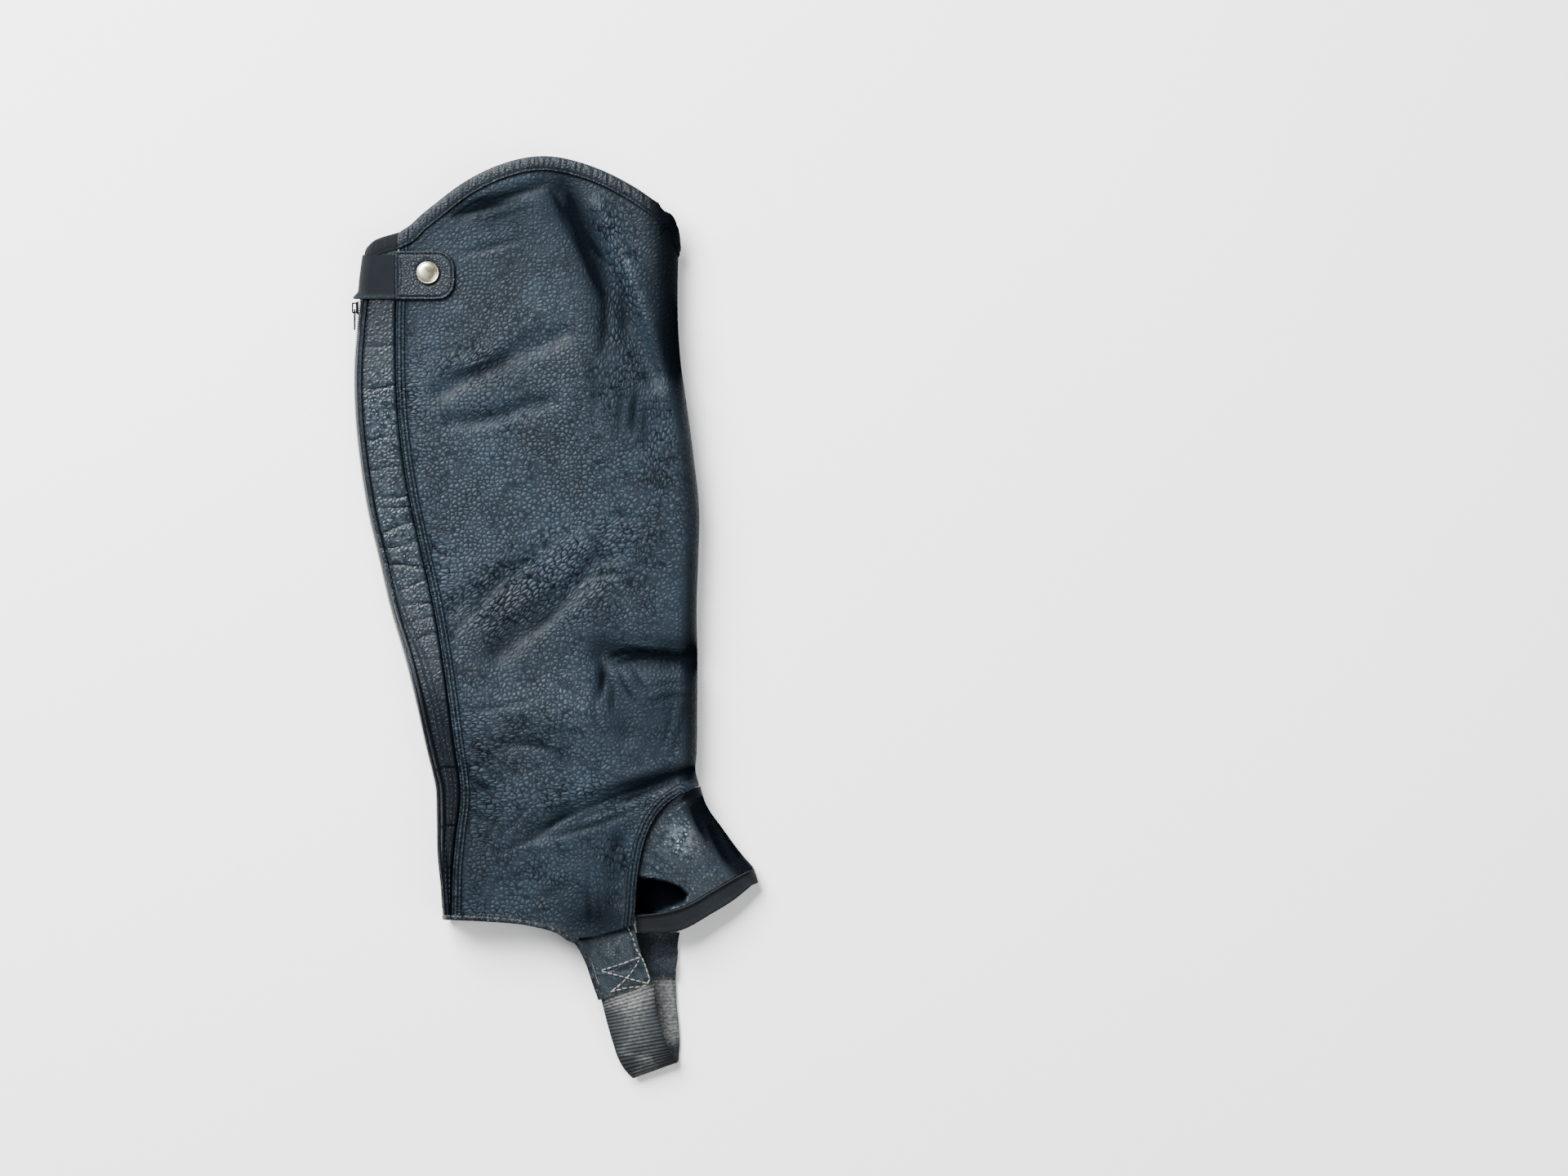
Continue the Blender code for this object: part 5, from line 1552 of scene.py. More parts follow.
@dataclass
class Leg:
    """The leg of the chap: body panel, back strip, bindings along the top and the hems."""

    form: LegForm
    shop: Workshop

    def shade(self, points: Array) -> Array:
        """Painted shade of the leg's skin: in creases, on the front roll, on the lower strip, in the shade
        patches, near the floor and under the top binding.

        Args:
            points: Points of the skin.

        Returns:
            Painted shade, 0 to 1.
        """
        x, y, z = points.T
        # Painted shade on the front roll, wider and darker high up
        front = self.form.leg.front(y)
        high = ease((y - 125.0) / 50.0)
        reach = 12.0 + 19.0 * high
        roll = ease((x - front + reach) / (0.8 * reach)) * (0.66 + 0.30 * high)
        roll = roll * (y > FLAP_DIP - 4)
        # Painted shadow in the shade patches
        patches = np.zeros_like(x)
        for px, py, rx, ry, part in SHADE_PATCHES:
            away = ((x - px) / rx) ** 2 + ((y - py) / ry) ** 2
            patches = patches + part * np.exp(-away ** SHADE_POWER)
        # Painted shade in the troughs of creases and folds
        trough = np.maximum(-creases(CREASE_ROWS, x, y, True), 0.0) * 0.45
        trough += np.maximum(-creases(FOLD_ROWS, x, y, False), 0.0) * 0.12 + patches
        # Painted shade on the lower strip, near the floor and in lines under the top binding
        seam = self.form.strip_seam(y)
        strip = (x < seam) * ease((-y - 18.0) / 40.0) * 0.75
        edge = 0.35 * (1.0 - ease(z / 8.0))
        below = self.rim_height(x) - y
        lines = 0.75 * bump(below - 0.4, 0.8) + 0.35 * bump(below - 5.2, 0.8) * ease((0.0 - x) / 40.0)
        lines = np.where((below > -0.8) & (z > 6.0), lines, 0.0)
        return np.maximum.reduce([roll, strip, edge, lines]) + trough

    def rim_height(self, x: Array) -> Array:
        """Height of the top binding's lower edge over the outer face.

        Args:
            x: Places' X.

        Returns:
            The heights.
        """
        girth = np.linspace(0.0, 1.0, 120)
        y = self.form.top_edge(girth) - self.form.edge_drop(girth, BINDING_WIDTH)
        return np.interp(x, self.form.point(girth, y, False)[:, 0], y)

    def seam(self, points: Array) -> Array:
        """Distance to the nearest topstitched seam, far off on the other side of it.

        Args:
            points: Points of the skin.

        Returns:
            The distances.
        """
        x, y, z = points.T
        away = x - self.form.strip_seam(y)
        low = y < FLAP_TOP + 8.0
        front = np.full(x.shape, SEAM_FAR)
        front[low] = distance_to(self.form.gusset_seam, x[low], y[low])
        away = np.minimum(np.where(away > -1.0, np.maximum(away, 0.0), SEAM_FAR), front)
        return np.where(z > 3.0, away, SEAM_FAR)

    def grain(self, kind: str) -> Look:
        """How much of one drawn-out grain shows.

        Args:
            kind: One of the kinds of grain.

        Returns:
            A function from points to shares.
        """
        def share(points: Array) -> Array:
            """Share of this grain.

            Args:
                points: Points of the skin.

            Returns:
                The shares.
            """
            x, y, _ = points.T
            sums = {name: np.zeros(x.shape) for name in GRAIN_KINDS}
            for name, cx, cy, rx, ry, part in GRAIN_ZONES:
                sums[name] += part * np.exp(-(((x - cx) / rx) ** 2 + ((y - cy) / ry) ** 2) ** 1.5)
            near = bump(np.maximum(x - self.form.strip_seam(y) - 4.0, 0.0), SEAM_CRINKLE_REACH)
            sums["grain_across"] += near * (0.6 + 0.4 * np.sin(y / 17.0))
            whole = np.maximum(sum(sums.values()), 1.0)
            return sums[kind] / whole
        return share

    def looks(self) -> dict[str, Look]:
        """Attributes of the leg's leather."""
        parts = {kind: self.grain(kind) for kind in GRAIN_KINDS}
        return {"shade": self.shade, "wear": self.wear, "seam": self.seam, **parts}

    def wear(self, points: Array) -> Array:
        """Worn places and painted highlights of the leg's skin: the strip's worn patches with painted
        glints, painted highlights on the raised edges (seam rib and fold ridge), and a pale patch.

        Args:
            points: Points of the skin.

        Returns:
            Worn share with painted highlight, 0 to 1.
        """
        x, y, _ = points.T
        seam = self.form.strip_seam(y)
        # Worn patches on the strip, which also carry painted glints
        scuffs_and_glints = bump(y - 118, 26) + 0.8 * bump(y - 56, 22) + 0.35 * bump(y - 20, 25)
        strip = (x < seam) * np.clip(scuffs_and_glints, 0, 1) * ease((x - self.form.leg.back(y) - 4) / 4)
        # Painted highlights on the raised rib beside the strip seam and on the ridge of the first large
        # fold
        rib = 0.35 * bump(x - seam - 1.0, 0.8)
        ridge = np.maximum(creases([FOLD_ROWS[0]], x, y, False), 0.0) * 0.12
        knob = 0.3 * bump(np.hypot(x + 0.0, y + 42.0), 22.0)
        return strip + rib + (x > seam) * (ridge + knob)

    def body_panel(self) -> Piece:
        """The one large leather piece.

        Returns:
            The object.
        """
        over = graded(112, 14, 0.05)
        codes = joined(over, (1, 2, 15), (2, 3, 17), (3, 3.5, 7))
        down = graded(200, 8, 0.025)
        top, low = self.form.cloth_top(codes), self.form.flap_line(codes)
        y = top + (low - top) * down[:, None]
        sheet = Sheet()
        numbers = sheet.add(self.form.point(self.form.panel_girth(codes[None, :], y), y))
        last = numbers[-1]
        shares = np.linspace(0, 1, 54)[1:]
        across, steps = np.meshgrid(over, shares)
        sheet.add(self.form.face(self.form.flap(across, steps, True)), last[:len(over)])
        inner = np.linspace(0, 1, 17)
        across, steps = np.meshgrid(inner, shares)
        plan = self.form.flap(across, steps, False)
        under = np.concatenate([plan, np.zeros((*plan.shape[:2], 1))], -1)
        y = FLAP_TOP + (BACK_HEM - FLAP_TOP) * shares[:, None]
        back = np.linspace(3, 3.5, 7)[1:]
        side = self.form.point(self.form.panel_girth(back[None, :], y), y)
        sheet.add(np.concatenate([under, side], 1), last[len(over) + 13:])
        return sheet.wall(self.shop, "leg_panel", LEATHER, Finish.PEBBLED, self.looks())

    def strip_shade(self, points: Array) -> Array:
        """Painted shade of the back strip: its creases, its seams, its top, its lower part and near the
        floor.

        Args:
            points: Points of the skin.

        Returns:
            Painted shade, 0 to 1.
        """
        x, y, z = points.T
        back, seam = self.form.leg.back(y), self.form.strip_seam(y)
        t = np.clip((x - back) / (seam - back), 0.0, 1.0)
        dark = 0.20 + 0.57 * ease((-y - 18.0) / 45.0) + 0.25 * ease((y - 150.0) / 40.0)
        for away, swell, reach, rise in strip_creases(t, y):
            fade = ease((t - 0.12) / 0.2) * swell
            dark = dark + 0.95 * min(abs(rise), 1.0) * fade * bump(away, 0.4 * reach)
        dark = dark + 0.8 * bump(x - seam, 1.1) + 0.9 * bump(x - back - 4.7, 0.8)
        dark = dark + 0.7 * bump(x - back, 0.8) + 0.6 * bump(x - back - 1.9, 0.5)
        return dark + 0.3 * (1.0 - ease(z / 6.0))

    def strip_skin(self, girth: Array, y: Array) -> Array:
        """Points of the strip's skin, with the two stitched ridges beside the zip.

        Args:
            girth: Places round the girth.
            y: Heights up the leg.

        Returns:
            The points.
        """
        turn = np.degrees(math.pi * (STRIP + 0.5 - girth))
        ridges = 0.45 * bump(turn - 126, 7) + 0.45 * bump(turn - 100, 7) - 0.4 * bump(turn - 113, 6)
        return self.form.skin(girth, y, np.where(girth < STRIP + 0.1, ridges, 0.0))

    def back_strip(self) -> Piece:
        """The smooth stretch strip between the zip and the outer face.

        Returns:
            The object.
        """
        codes = joined(np.linspace(3.5, 4, 25), (4, 5, 25))
        down = np.linspace(0, 1, 520)
        top = self.form.cloth_top(codes)
        y = top + (BACK_HEM - top) * down[:, None]
        sheet = Sheet(self.strip_skin(self.form.strip_girth(codes[None, :], y), y))
        return sheet.wall(self.shop, "strip", LEATHER, Finish.STRIP,
                          {"shade": self.strip_shade, "wear": self.wear})

    def binding(self, name: str, codes: Array, girth_at: Callable, width: float, finish: Finish,
                crinkle: float, wall: float) -> Piece:
        """A folded binding that stands on the cloth's top edge.

        Args:
            name: Object name.
            codes: Column places.
            girth_at: Turns a column and a height into a girth.
            width: The binding's width.
            finish: Its finish.
            crinkle: Height of the crinkles across it.
            wall: Its thickness.

        Returns:
            The object.
        """
        v = np.array(BINDING_STATIONS)[:, None]
        top = self.form.top_edge(codes)
        y = top - self.form.edge_drop(codes, width) * v
        girth = girth_at(codes[None, :], y)
        flat = self.form.point(girth, y, False)
        length = run_of(flat[5])
        puff = 0.4 * v + 1.1 * np.sqrt(np.clip(1 - (2 * v - 1) ** 2, 0, 1)) - 0.5 * bump(v - 0.84, 0.06)
        wave = 0.7 * ripple(length[None, :] + 2.2 * v, 3.1)
        wave = wave + 0.6 * ripple(length[None, :] - 1.6 * v, 4.9, 2.0)
        wave = crinkle * wave * np.sin(math.pi * np.clip(v, 0.05, 0.95))
        wave = wave + 0.5 * crinkle * ripple(length[None, :] - 3.0 * v, 8.7, 1.3)
        sheet = Sheet(self.form.skin(girth, y, puff + wave))
        # Painted shade of the leg, and painted highlights along the binding
        return sheet.wall(self.shop, name, wall, finish,
                          {"shade": self.shade, "wear": lambda p: 0.12 + 0.12 * np.sin(p[:, 0] / 7.0)})

    def hem(self, outer: bool) -> Piece:
        """Thin binding along the lower edge, and down the outer stirrup tab.

        Args:
            outer: Whether it is the outer flap's.

        Returns:
            The object.
        """
        v = np.linspace(0, 1, 7)
        puff = 0.5 * np.sqrt(np.clip(1 - (2 * v - 1) ** 2, 0, 1))
        y = BACK_HEM - SEAM_GAP - HEM_WIDTH * v
        columns = []
        if outer:
            for code in joined(np.linspace(3.5, 4, 9), (4, 5, 9)):
                columns.append(self.form.skin(self.form.strip_girth(np.full(7, code), y), y, puff))
            for share in np.linspace(0, HEM_TURN, 74)[1:]:
                plan = np.array([shifted(self.form.outer_hem, SEAM_GAP + HEM_WIDTH * s)(share)
                                 for s in v])
                wave = 0.25 * float(ripple(np.array(share * 120.0), 5.0))
                columns.append(self.form.face(plan, puff + wave, False))
            for down in np.linspace(HEM_ON_TAB_START, 1, 41):
                across = np.linspace(*HEM_ON_TAB, 7)
                columns.append(tab_points(self.form, across, np.full(7, down), puff))
        else:
            for share in np.linspace(0, 1, 60):
                plan = np.array([shifted(self.form.inner_hem, -SEAM_GAP - HEM_WIDTH * s)(share)
                                 for s in v])
                columns.append(np.concatenate([plan, np.zeros((7, 1))], 1))
            for code in np.linspace(3, 3.5, 9)[1:]:
                columns.append(self.form.skin(self.form.panel_girth(np.full(7, code), y), y, 0 * v))
        name = "outer_hem" if outer else "inner_hem"
        return Sheet(np.stack(columns, 1)).wall(self.shop, name, LEATHER, Finish.HEM, {
            "wear": lambda p: 0.5 + 0.5 * np.sin(p[:, 0] / 4.1) * np.sin(p[:, 0] / 1.3)})

    def threads(self) -> Piece:
        """Dark topstitching along the seams, the zip and the hem.

        Returns:
            The object.
        """
        lines = []
        y = np.linspace(184.0, -170.0, 240)
        for inset in STITCH_ROWS:
            lines.append(self.form.face(np.stack([self.form.strip_seam(y) + inset, y], -1), 0.05))
        y = np.linspace(183.0, -168.0, 240)
        for turn in ZIP_STITCH_TURNS:
            girth = STRIP + 0.5 - turn / 180.0
            lines.append(self.strip_skin(np.full(240, girth), y) + (0, 0, 0.1))
        share = np.linspace(0.03, 0.97, 90)
        for inset in STITCH_ROWS:
            lines.append(self.form.face(shifted(self.form.gusset_seam, inset)(share), 0.05))
        share = np.linspace(0.03, HEM_TURN - 0.04, 80)
        lines.append(self.form.face(shifted(self.form.outer_hem, -2.2)(share), 0.1))
        return Stitching(self.shop, "seam_threads").build(lines)


def tab_points(form: LegForm, across: Array, down: Array, out: Array = 0.0) -> Array:
    """Points of the outer stirrup tab.

    Args:
        form: The leg.
        across: Share across it; a negative one lies beside it, towards the back.
        down: Share down it.
        out: Height above it.

    Returns:
        The points.
    """
    edges = [path(rows) for rows in (TAB_TOP_ROWS, TAB_END_ROWS, TAB_BACK_ROWS, TAB_FRONT_ROWS)]
    inside = np.maximum(across, 0.0)
    plan = coons(*edges, inside, down)
    width = np.linalg.norm(edges[0](np.array(1.0)) - edges[0](np.array(0.0)))
    if np.any(across < 0.0):
        plan = np.array([shifted(edges[2], -a * width)(d) if a < 0 else p
                         for a, d, p in zip(across, down, plan)])
    top = edges[0](inside)
    top_z = form.outer_height(top[..., 0], top[..., 1], False) - TAB_LAP
    z = top_z + (TAB_END_Z - top_z) * down + out
    return np.concatenate([plan, z[..., None]], -1)


@dataclass
class Gusset:
    """The instep gusset, folded along the front of the foot, with its elastic band."""

    form: LegForm
    shop: Workshop

    def __post_init__(self) -> None:
        """Makes the lines that its rows run between."""
        self.left_line = shifted(self.form.gusset_seam, -GUSSET_SEAM_SIDE)
        self.fold = path(GUSSET_FOLD_ROWS)
        ends = [tuple(edge(np.array(1.0))) for edge in (self.left, self.inner_fold)]
        self.free = path([ends[0], *GUSSET_FREE_ROWS, ends[1]])

    def left(self, down: Array) -> Array:
        """The sewn edge in plan."""
        return self.left_line(np.asarray(down) * SEAM_END_ON_GUSSET)

    def radius(self, down: Array) -> Array:
        """How far the front fold reaches in."""
        return GUSSET_FOLD_START_R + (GUSSET_FOLD_END_R - GUSSET_FOLD_START_R) * ease(down)

    def heading(self, down: Array) -> Array:
        """Direction of a row, from its seam to its front fold."""
        ahead = self.fold(down) - self.left(down)
        return ahead / np.linalg.norm(ahead, axis=-1, keepdims=True)

    def inner_fold(self, down: Array) -> Array:
        """Where a row's flat part ends and its fold begins."""
        return self.fold(down) - self.radius(down)[..., None] * self.heading(down)

    def height(self, across: Array, down: Array, x: Array, y: Array, sink: float = 0.0,
               hollow: bool = True) -> Array:
        """Height of the outer face over the floor.

        Args:
            across: Share across the gusset.
            down: Share down it.
            x: Places' X.
            y: Places' Y.
            sink: How much lower the sewn side lies.
            hollow: Whether the pocket is pushed in.

        Returns:
            The heights.
        """
        seam = self.left(down)
        low = self.form.outer_height(seam[..., 0], seam[..., 1], False)
        low = low - GUSSET_DROP * ease(down / GUSSET_DROP_END)
        start = self.form.point(np.array(FRONT), np.array(FLAP_DIP), False)[2]
        fold = start + (GUSSET_FOLD_END_H - start) * ease(down)
        level = low + (fold - low) * across + GUSSET_CROWN * 4 * across * (1 - across) * ease(down)
        level = level + creases(GUSSET_CREASE_ROWS, x, y, True) - sink * (1 - across)
        if hollow:
            depth = inside_depth(POCKET_ROWS, x, y)
            level = level + (POCKET_FLOOR - level) * ease((depth + 0.6) / POCKET_LIP)
            level = level + 0.5 * bump(depth + 1.6, 1.3)
        return level

    def row(self, down: Array, plan: Array, fold: Array, heading: Array, radius: Array,
            sink: float, hollow: bool) -> Array:
        """Rows over the top, round the front fold and back underneath.

        Args:
            down: Share down the gusset of each row.
            plan: Plan points of each row's flat part.
            fold: The fold's outermost point of each row.
            heading: Each row's direction.
            radius: How far each row's fold reaches in.
            sink: How much lower the sewn side lies.
            hollow: Whether the pocket is pushed in.

        Returns:
            The points.
        """
        count = plan.shape[1]
        across = np.broadcast_to(np.linspace(0, 1, count), plan.shape[:2])
        steps = np.broadcast_to(np.clip(down, 0, 1)[:, None], plan.shape[:2])
        z = self.height(across, steps, plan[..., 0], plan[..., 1], sink, hollow)
        over = np.concatenate([plan, z[..., None]], -1)
        half = z[:, -1:] / 2
        turn = math.pi * (0.5 - np.linspace(0, 1, 15)[1:-1])
        start = fold - radius[:, None] * heading
        spot = start[:, None] + (radius[:, None] * np.cos(turn))[..., None] * heading[:, None]
        bend = np.concatenate([spot, (half + half * np.sin(turn))[..., None]], -1)
        under = np.concatenate([plan[:, ::-2], np.zeros((*plan[:, ::-2].shape[:2], 1))], -1)
        return np.concatenate([over, bend, under], 1)

    def leather(self) -> Piece:
        """The gusset itself.

        Returns:
            The object.
        """
        down = np.linspace(0, 1, 71)
        shares = np.linspace(0, 1, 61)
        across, steps = np.meshgrid(shares, down)

        def top(share: Array) -> Array:
            """Upper edge."""
            a, b = self.left(np.array(0.0)), self.inner_fold(np.array(0.0))
            return a + (b - a) * np.asarray(share)[..., None]

        plan = coons(top, self.free, self.left, self.inner_fold, across, steps)
        sheet = Sheet(self.row(down, plan, self.fold(down), self.heading(down), self.radius(down), 0.0,
                               True))

        def shade(p: Array) -> Array:
            """Painted shade in the pocket, on the fold, in the creases and at the seam.

            Args:
                p: Points of the skin.

            Returns:
                Painted shade, 0 to 1.
            """
            pit = ease((inside_depth(POCKET_ROWS, p[:, 0], p[:, 1]) + 0.6) / 1.6) * 1.2
            spot = distance_to(self.fold, p[:, 0], p[:, 1])
            roll = 0.95 * (1.0 - ease((spot - 8.0) / 9.0))
            trough = np.maximum(-creases(GUSSET_CREASE_ROWS, p[:, 0], p[:, 1], True), 0) * 0.5
            seam = 0.5 * bump(distance_to(self.left_line, p[:, 0], p[:, 1]), 1.5)
            return np.maximum.reduce([pit, roll, seam]) + trough

        def wear(p: Array) -> Array:
            """The rubbed place on the toe side."""
            return 1.15 * bump(np.hypot((p[:, 0] - 74.0) / 1.1, p[:, 1] + 131.0), 9.0) + 0.04

        return sheet.wall(self.shop, "gusset", LEATHER, Finish.GUSSET, {"shade": shade, "wear": wear})

    def band(self) -> Piece:
        """Elastic band along the free edge, over the top and underneath.

        Returns:
            The object.
        """
        one = np.array(1.0)
        heading = self.heading(one)
        upper_fold = self.fold(one) + BAND_GAP * np.array([heading[1], -heading[0]])
        lower_fold = np.array(CONTOUR_FOLD)
        contour = path(CONTOUR_ROWS + [tuple(lower_fold - GUSSET_FOLD_END_R * heading)])
        shares = np.linspace(0, 1, 81)
        edges = shifted(self.free, BAND_GAP)(shares), contour(shares)
        radius = np.array([GUSSET_FOLD_END_R])
        rows = []
        for edge, fold, sink in zip(edges, (upper_fold, lower_fold), (0.0, BAND_SINK)):
            rows.append(self.row(np.array([1.0]), edge[None], fold[None], heading[None], radius,
                                 sink, False)[0])
        steps = np.linspace(0, 1, 17)[:, None, None]
        grid = rows[0] + (rows[1] - rows[0]) * steps
        ridge = 1.1 * bump(steps[..., 0] - 0.07, 0.07) + 0.45 * bump(steps[..., 0] - 0.9, 0.08)
        grid[:, :81, 2] += ridge - 0.35 * bump(steps[..., 0] - 0.2, 0.05)
        sheet = Sheet(grid)

        def shade(p: Array) -> Array:
            """Painted shade in the groove by its free edge and at its back end."""
            inner = 0.6 * bump(distance_to(self.free, p[:, 0], p[:, 1]) - 2.0, 0.6)
            return inner + 0.6 * ease((82.0 - p[:, 0]) / 16.0)

        def wear(p: Array) -> Array:
            """Its rubbed ridge."""
            return 0.2 + 0.5 * bump(distance_to(self.free, p[:, 0], p[:, 1]), 1.3)

        return sheet.wall(self.shop, "gusset_band", WEBBING, Finish.WEBBING,
                          {"shade": shade, "wear": wear})


@dataclass
class Stirrup:
    """The strap under the foot: outer tab, elastic loop and inner tab."""

    form: LegForm
    shop: Workshop

    def outer_tab(self) -> Piece:
        """The outer tab, sewn under the flap's lower edge.

        Returns:
            The object.
        """
        across, down = np.meshgrid(np.linspace(0, 1, 41), np.linspace(0, 1, 57))
        grid = tab_points(self.form, across, down)
        x, y = grid[..., 0], grid[..., 1]
        grid[..., 2] += 0.7 * bump(across - 0.93, 0.035) * (down < 0.75) - 0.4 * bump(across - 0.86, 0.03)
        grid[..., 2] += 0.5 * bump(down - 0.64 - 0.04 * np.sin(6 * across), 0.02)
        grid[..., 2] += 0.8 * bump(np.hypot(x - 36.0, y + 195.0), 7.0)
        grid[..., 2] += creases(TAB_CREASE_ROWS, x, y, True)
        grid[..., 2] -= 0.9 * ease((down - 0.93) / 0.07)
        sheet = Sheet(grid)

        def shade(p: Array) -> Array:
            """Painted shade under the flap's edge and at the back."""
            under = 0.75 * ease((p[:, 1] + 189.5 - 0.16 * (p[:, 0] - 20)) / 3.0)
            return under + 0.5 * ease((24 - p[:, 0]) / 6)

        def wear(p: Array) -> Array:
            """Its middle and its lower end.

            Args:
                p: Points of the skin.

            Returns:
                Wear, 0 to 1.
            """
            end = path(TAB_END_ROWS)
            pale = 0.35 * bump(np.hypot(p[:, 0] - 36.0, p[:, 1] + 195.0), 8.0)
            return pale + 1.1 * bump(distance_to(end, p[:, 0], p[:, 1]) - 0.5, 2.6) + 0.08

        return sheet.wall(self.shop, "outer_tab", LEATHER, Finish.TAB, {"shade": shade, "wear": wear})

    def loop(self, rows: Sequence, count: int, cells: int) -> tuple[Array, Array, Array]:
        """Grid between the two edges of a strap.

        Args:
            rows: Stations with both edges and the height.
            count: Rows of the grid.
            cells: Cells across it.

        Returns:
            The points, the share across and the distance along.
        """
        table = Table(LOOP_NAMES, rows)
        s = np.linspace(rows[0][0], rows[-1][0], 12 * count)
        middle = np.stack([(table.x0(s) + table.x1(s)) / 2, (table.y0(s) + table.y1(s)) / 2,
                           table.z(s)], -1)
        run = run_of(middle)
        length = np.linspace(0, run[-1], count)
        s = np.interp(length, run, s)[:, None]
        a = np.linspace(0, 1, cells + 1)[None, :]
        points = np.stack([table.x0(s) + (table.x1(s) - table.x0(s)) * a,
                           table.y0(s) + (table.y1(s) - table.y0(s)) * a,
                           np.maximum(table.z(s), 0.0) + 0 * a], -1)
        return points, a + 0 * s, length[:, None] + 0 * a

    def elastic(self) -> Piece:
        """The ribbed elastic loop.

        Returns:
            The object.
        """
        grid, across, along = self.loop(STIRRUP_ROWS, 300, 26)
        over = grid[..., 2] > 3.0
        grid[..., 2] += np.where(over, RIB_RISE * np.sin(2 * math.pi * along / RIB_PITCH)
                                 + 0.35 * (1 - (2 * across - 1) ** 2), 0.0)
        sheet = Sheet(grid)
        flat = grid.reshape(-1, 3)
        shares, runs = across.ravel(), along.ravel()

        def of(values: Array) -> Look:
            """Values that are known already."""
            return lambda _: values

        # Painted shade in the grooves between the ribs; the band is also darker at its edges, lower down
        # and in blotches
        groove = 0.5 * bump(np.mod(runs, RIB_PITCH) - 0.75 * RIB_PITCH, 0.5)
        top = 1.0 - ease((runs - 8.0) / 30.0)
        worn = bump(shares - 0.55, 0.28) * (0.25 + 0.75 * top) + 0.5 * bump(runs - 12.0, 5.0)
        under = (flat[:, 2] < 3.0) & (runs > 60.0)
        worn = np.where(under, 0.75 * bump(shares - 0.85, 0.4) * ease((runs - 72.0) / 10.0), worn)
        dark = groove + 0.35 * bump(shares, 0.12) + 0.45 * bump(shares - 1.0, 0.06)
        dark = dark + 0.35 * bump(runs - 58.0, 14.0) * (shares > 0.6)
        low = ease((runs - 26.0) / 22.0) * (flat[:, 2] > 3.0)
        dark = dark + low * (0.34 + 0.22 * np.sin(shares * 9.0 + 0.5 * runs) * np.sin(0.31 * runs))
        worn = worn + 0.5 * low * bump(shares - 0.3 - 0.2 * np.sin(0.4 * runs), 0.12)
        return sheet.wall(self.shop, "stirrup_band", WEBBING, Finish.ELASTIC,
                          {"shade": of(dark), "wear": of(worn)})

    def inner_tab(self) -> Piece:
        """The inner tab, rough side up.

        Returns:
            The object.
        """
        grid, across, along = self.loop(INNER_TAB_ROWS, 40, 40)
        grid[..., 2] += creases(INNER_TAB_CREASE_ROWS, grid[..., 0], grid[..., 1], True)
        # Painted shade, darker towards its back end
        return Sheet(grid).wall(self.shop, "inner_tab", LEATHER, Finish.ROUGH, {
            "shade": lambda p: 0.6 * ease((58.0 - p[:, 0]) / 8.0),
            "wear": lambda p: 0.5 * bump(np.abs(p[:, 0] - 69.5), 1.2) + 0.3})

    def threads(self) -> Piece:
        """Worn white thread of the box and cross on the outer tab.

        Returns:
            The object.
        """
        across, down = np.meshgrid(np.linspace(0, 1, 30), np.linspace(0, 1, 50))
        grid = tab_points(self.form, across, down).reshape(-1, 3)
        lines = []
        for rows in TAB_THREAD_LINES.values():
            plan = path(rows)(np.linspace(0, 1, 30))
            nearest = [grid[np.argmin(np.hypot(grid[:, 0] - p[0], grid[:, 1] - p[1])), 2] for p in plan]
            level = np.convolve(np.pad(nearest, 3, mode="edge"), np.ones(7) / 7, mode="valid")
            lines.append(np.concatenate([plan, level[:, None] + 0.35], 1))
        return Stitching(self.shop, "tab_threads", 3.0, 0.35, 0.42, Finish.WORN_THREAD).build(lines)

    def edge_threads(self) -> Piece:
        """Stitches along the inner tab's front edge.

        Returns:
            The object.
        """
        y = np.linspace(-187.0, -210.0, 20)
        x = 70.0 - 0.06 * (-187.0 - y)
        z = LEATHER + 0.15 + 1.95 * ease((-202.0 - y) / 3.0)
        return Stitching(self.shop, "inner_tab_threads", 2.4, 0.6, 0.3, Finish.THREAD).build(
            [np.stack([x, y, z], -1)])


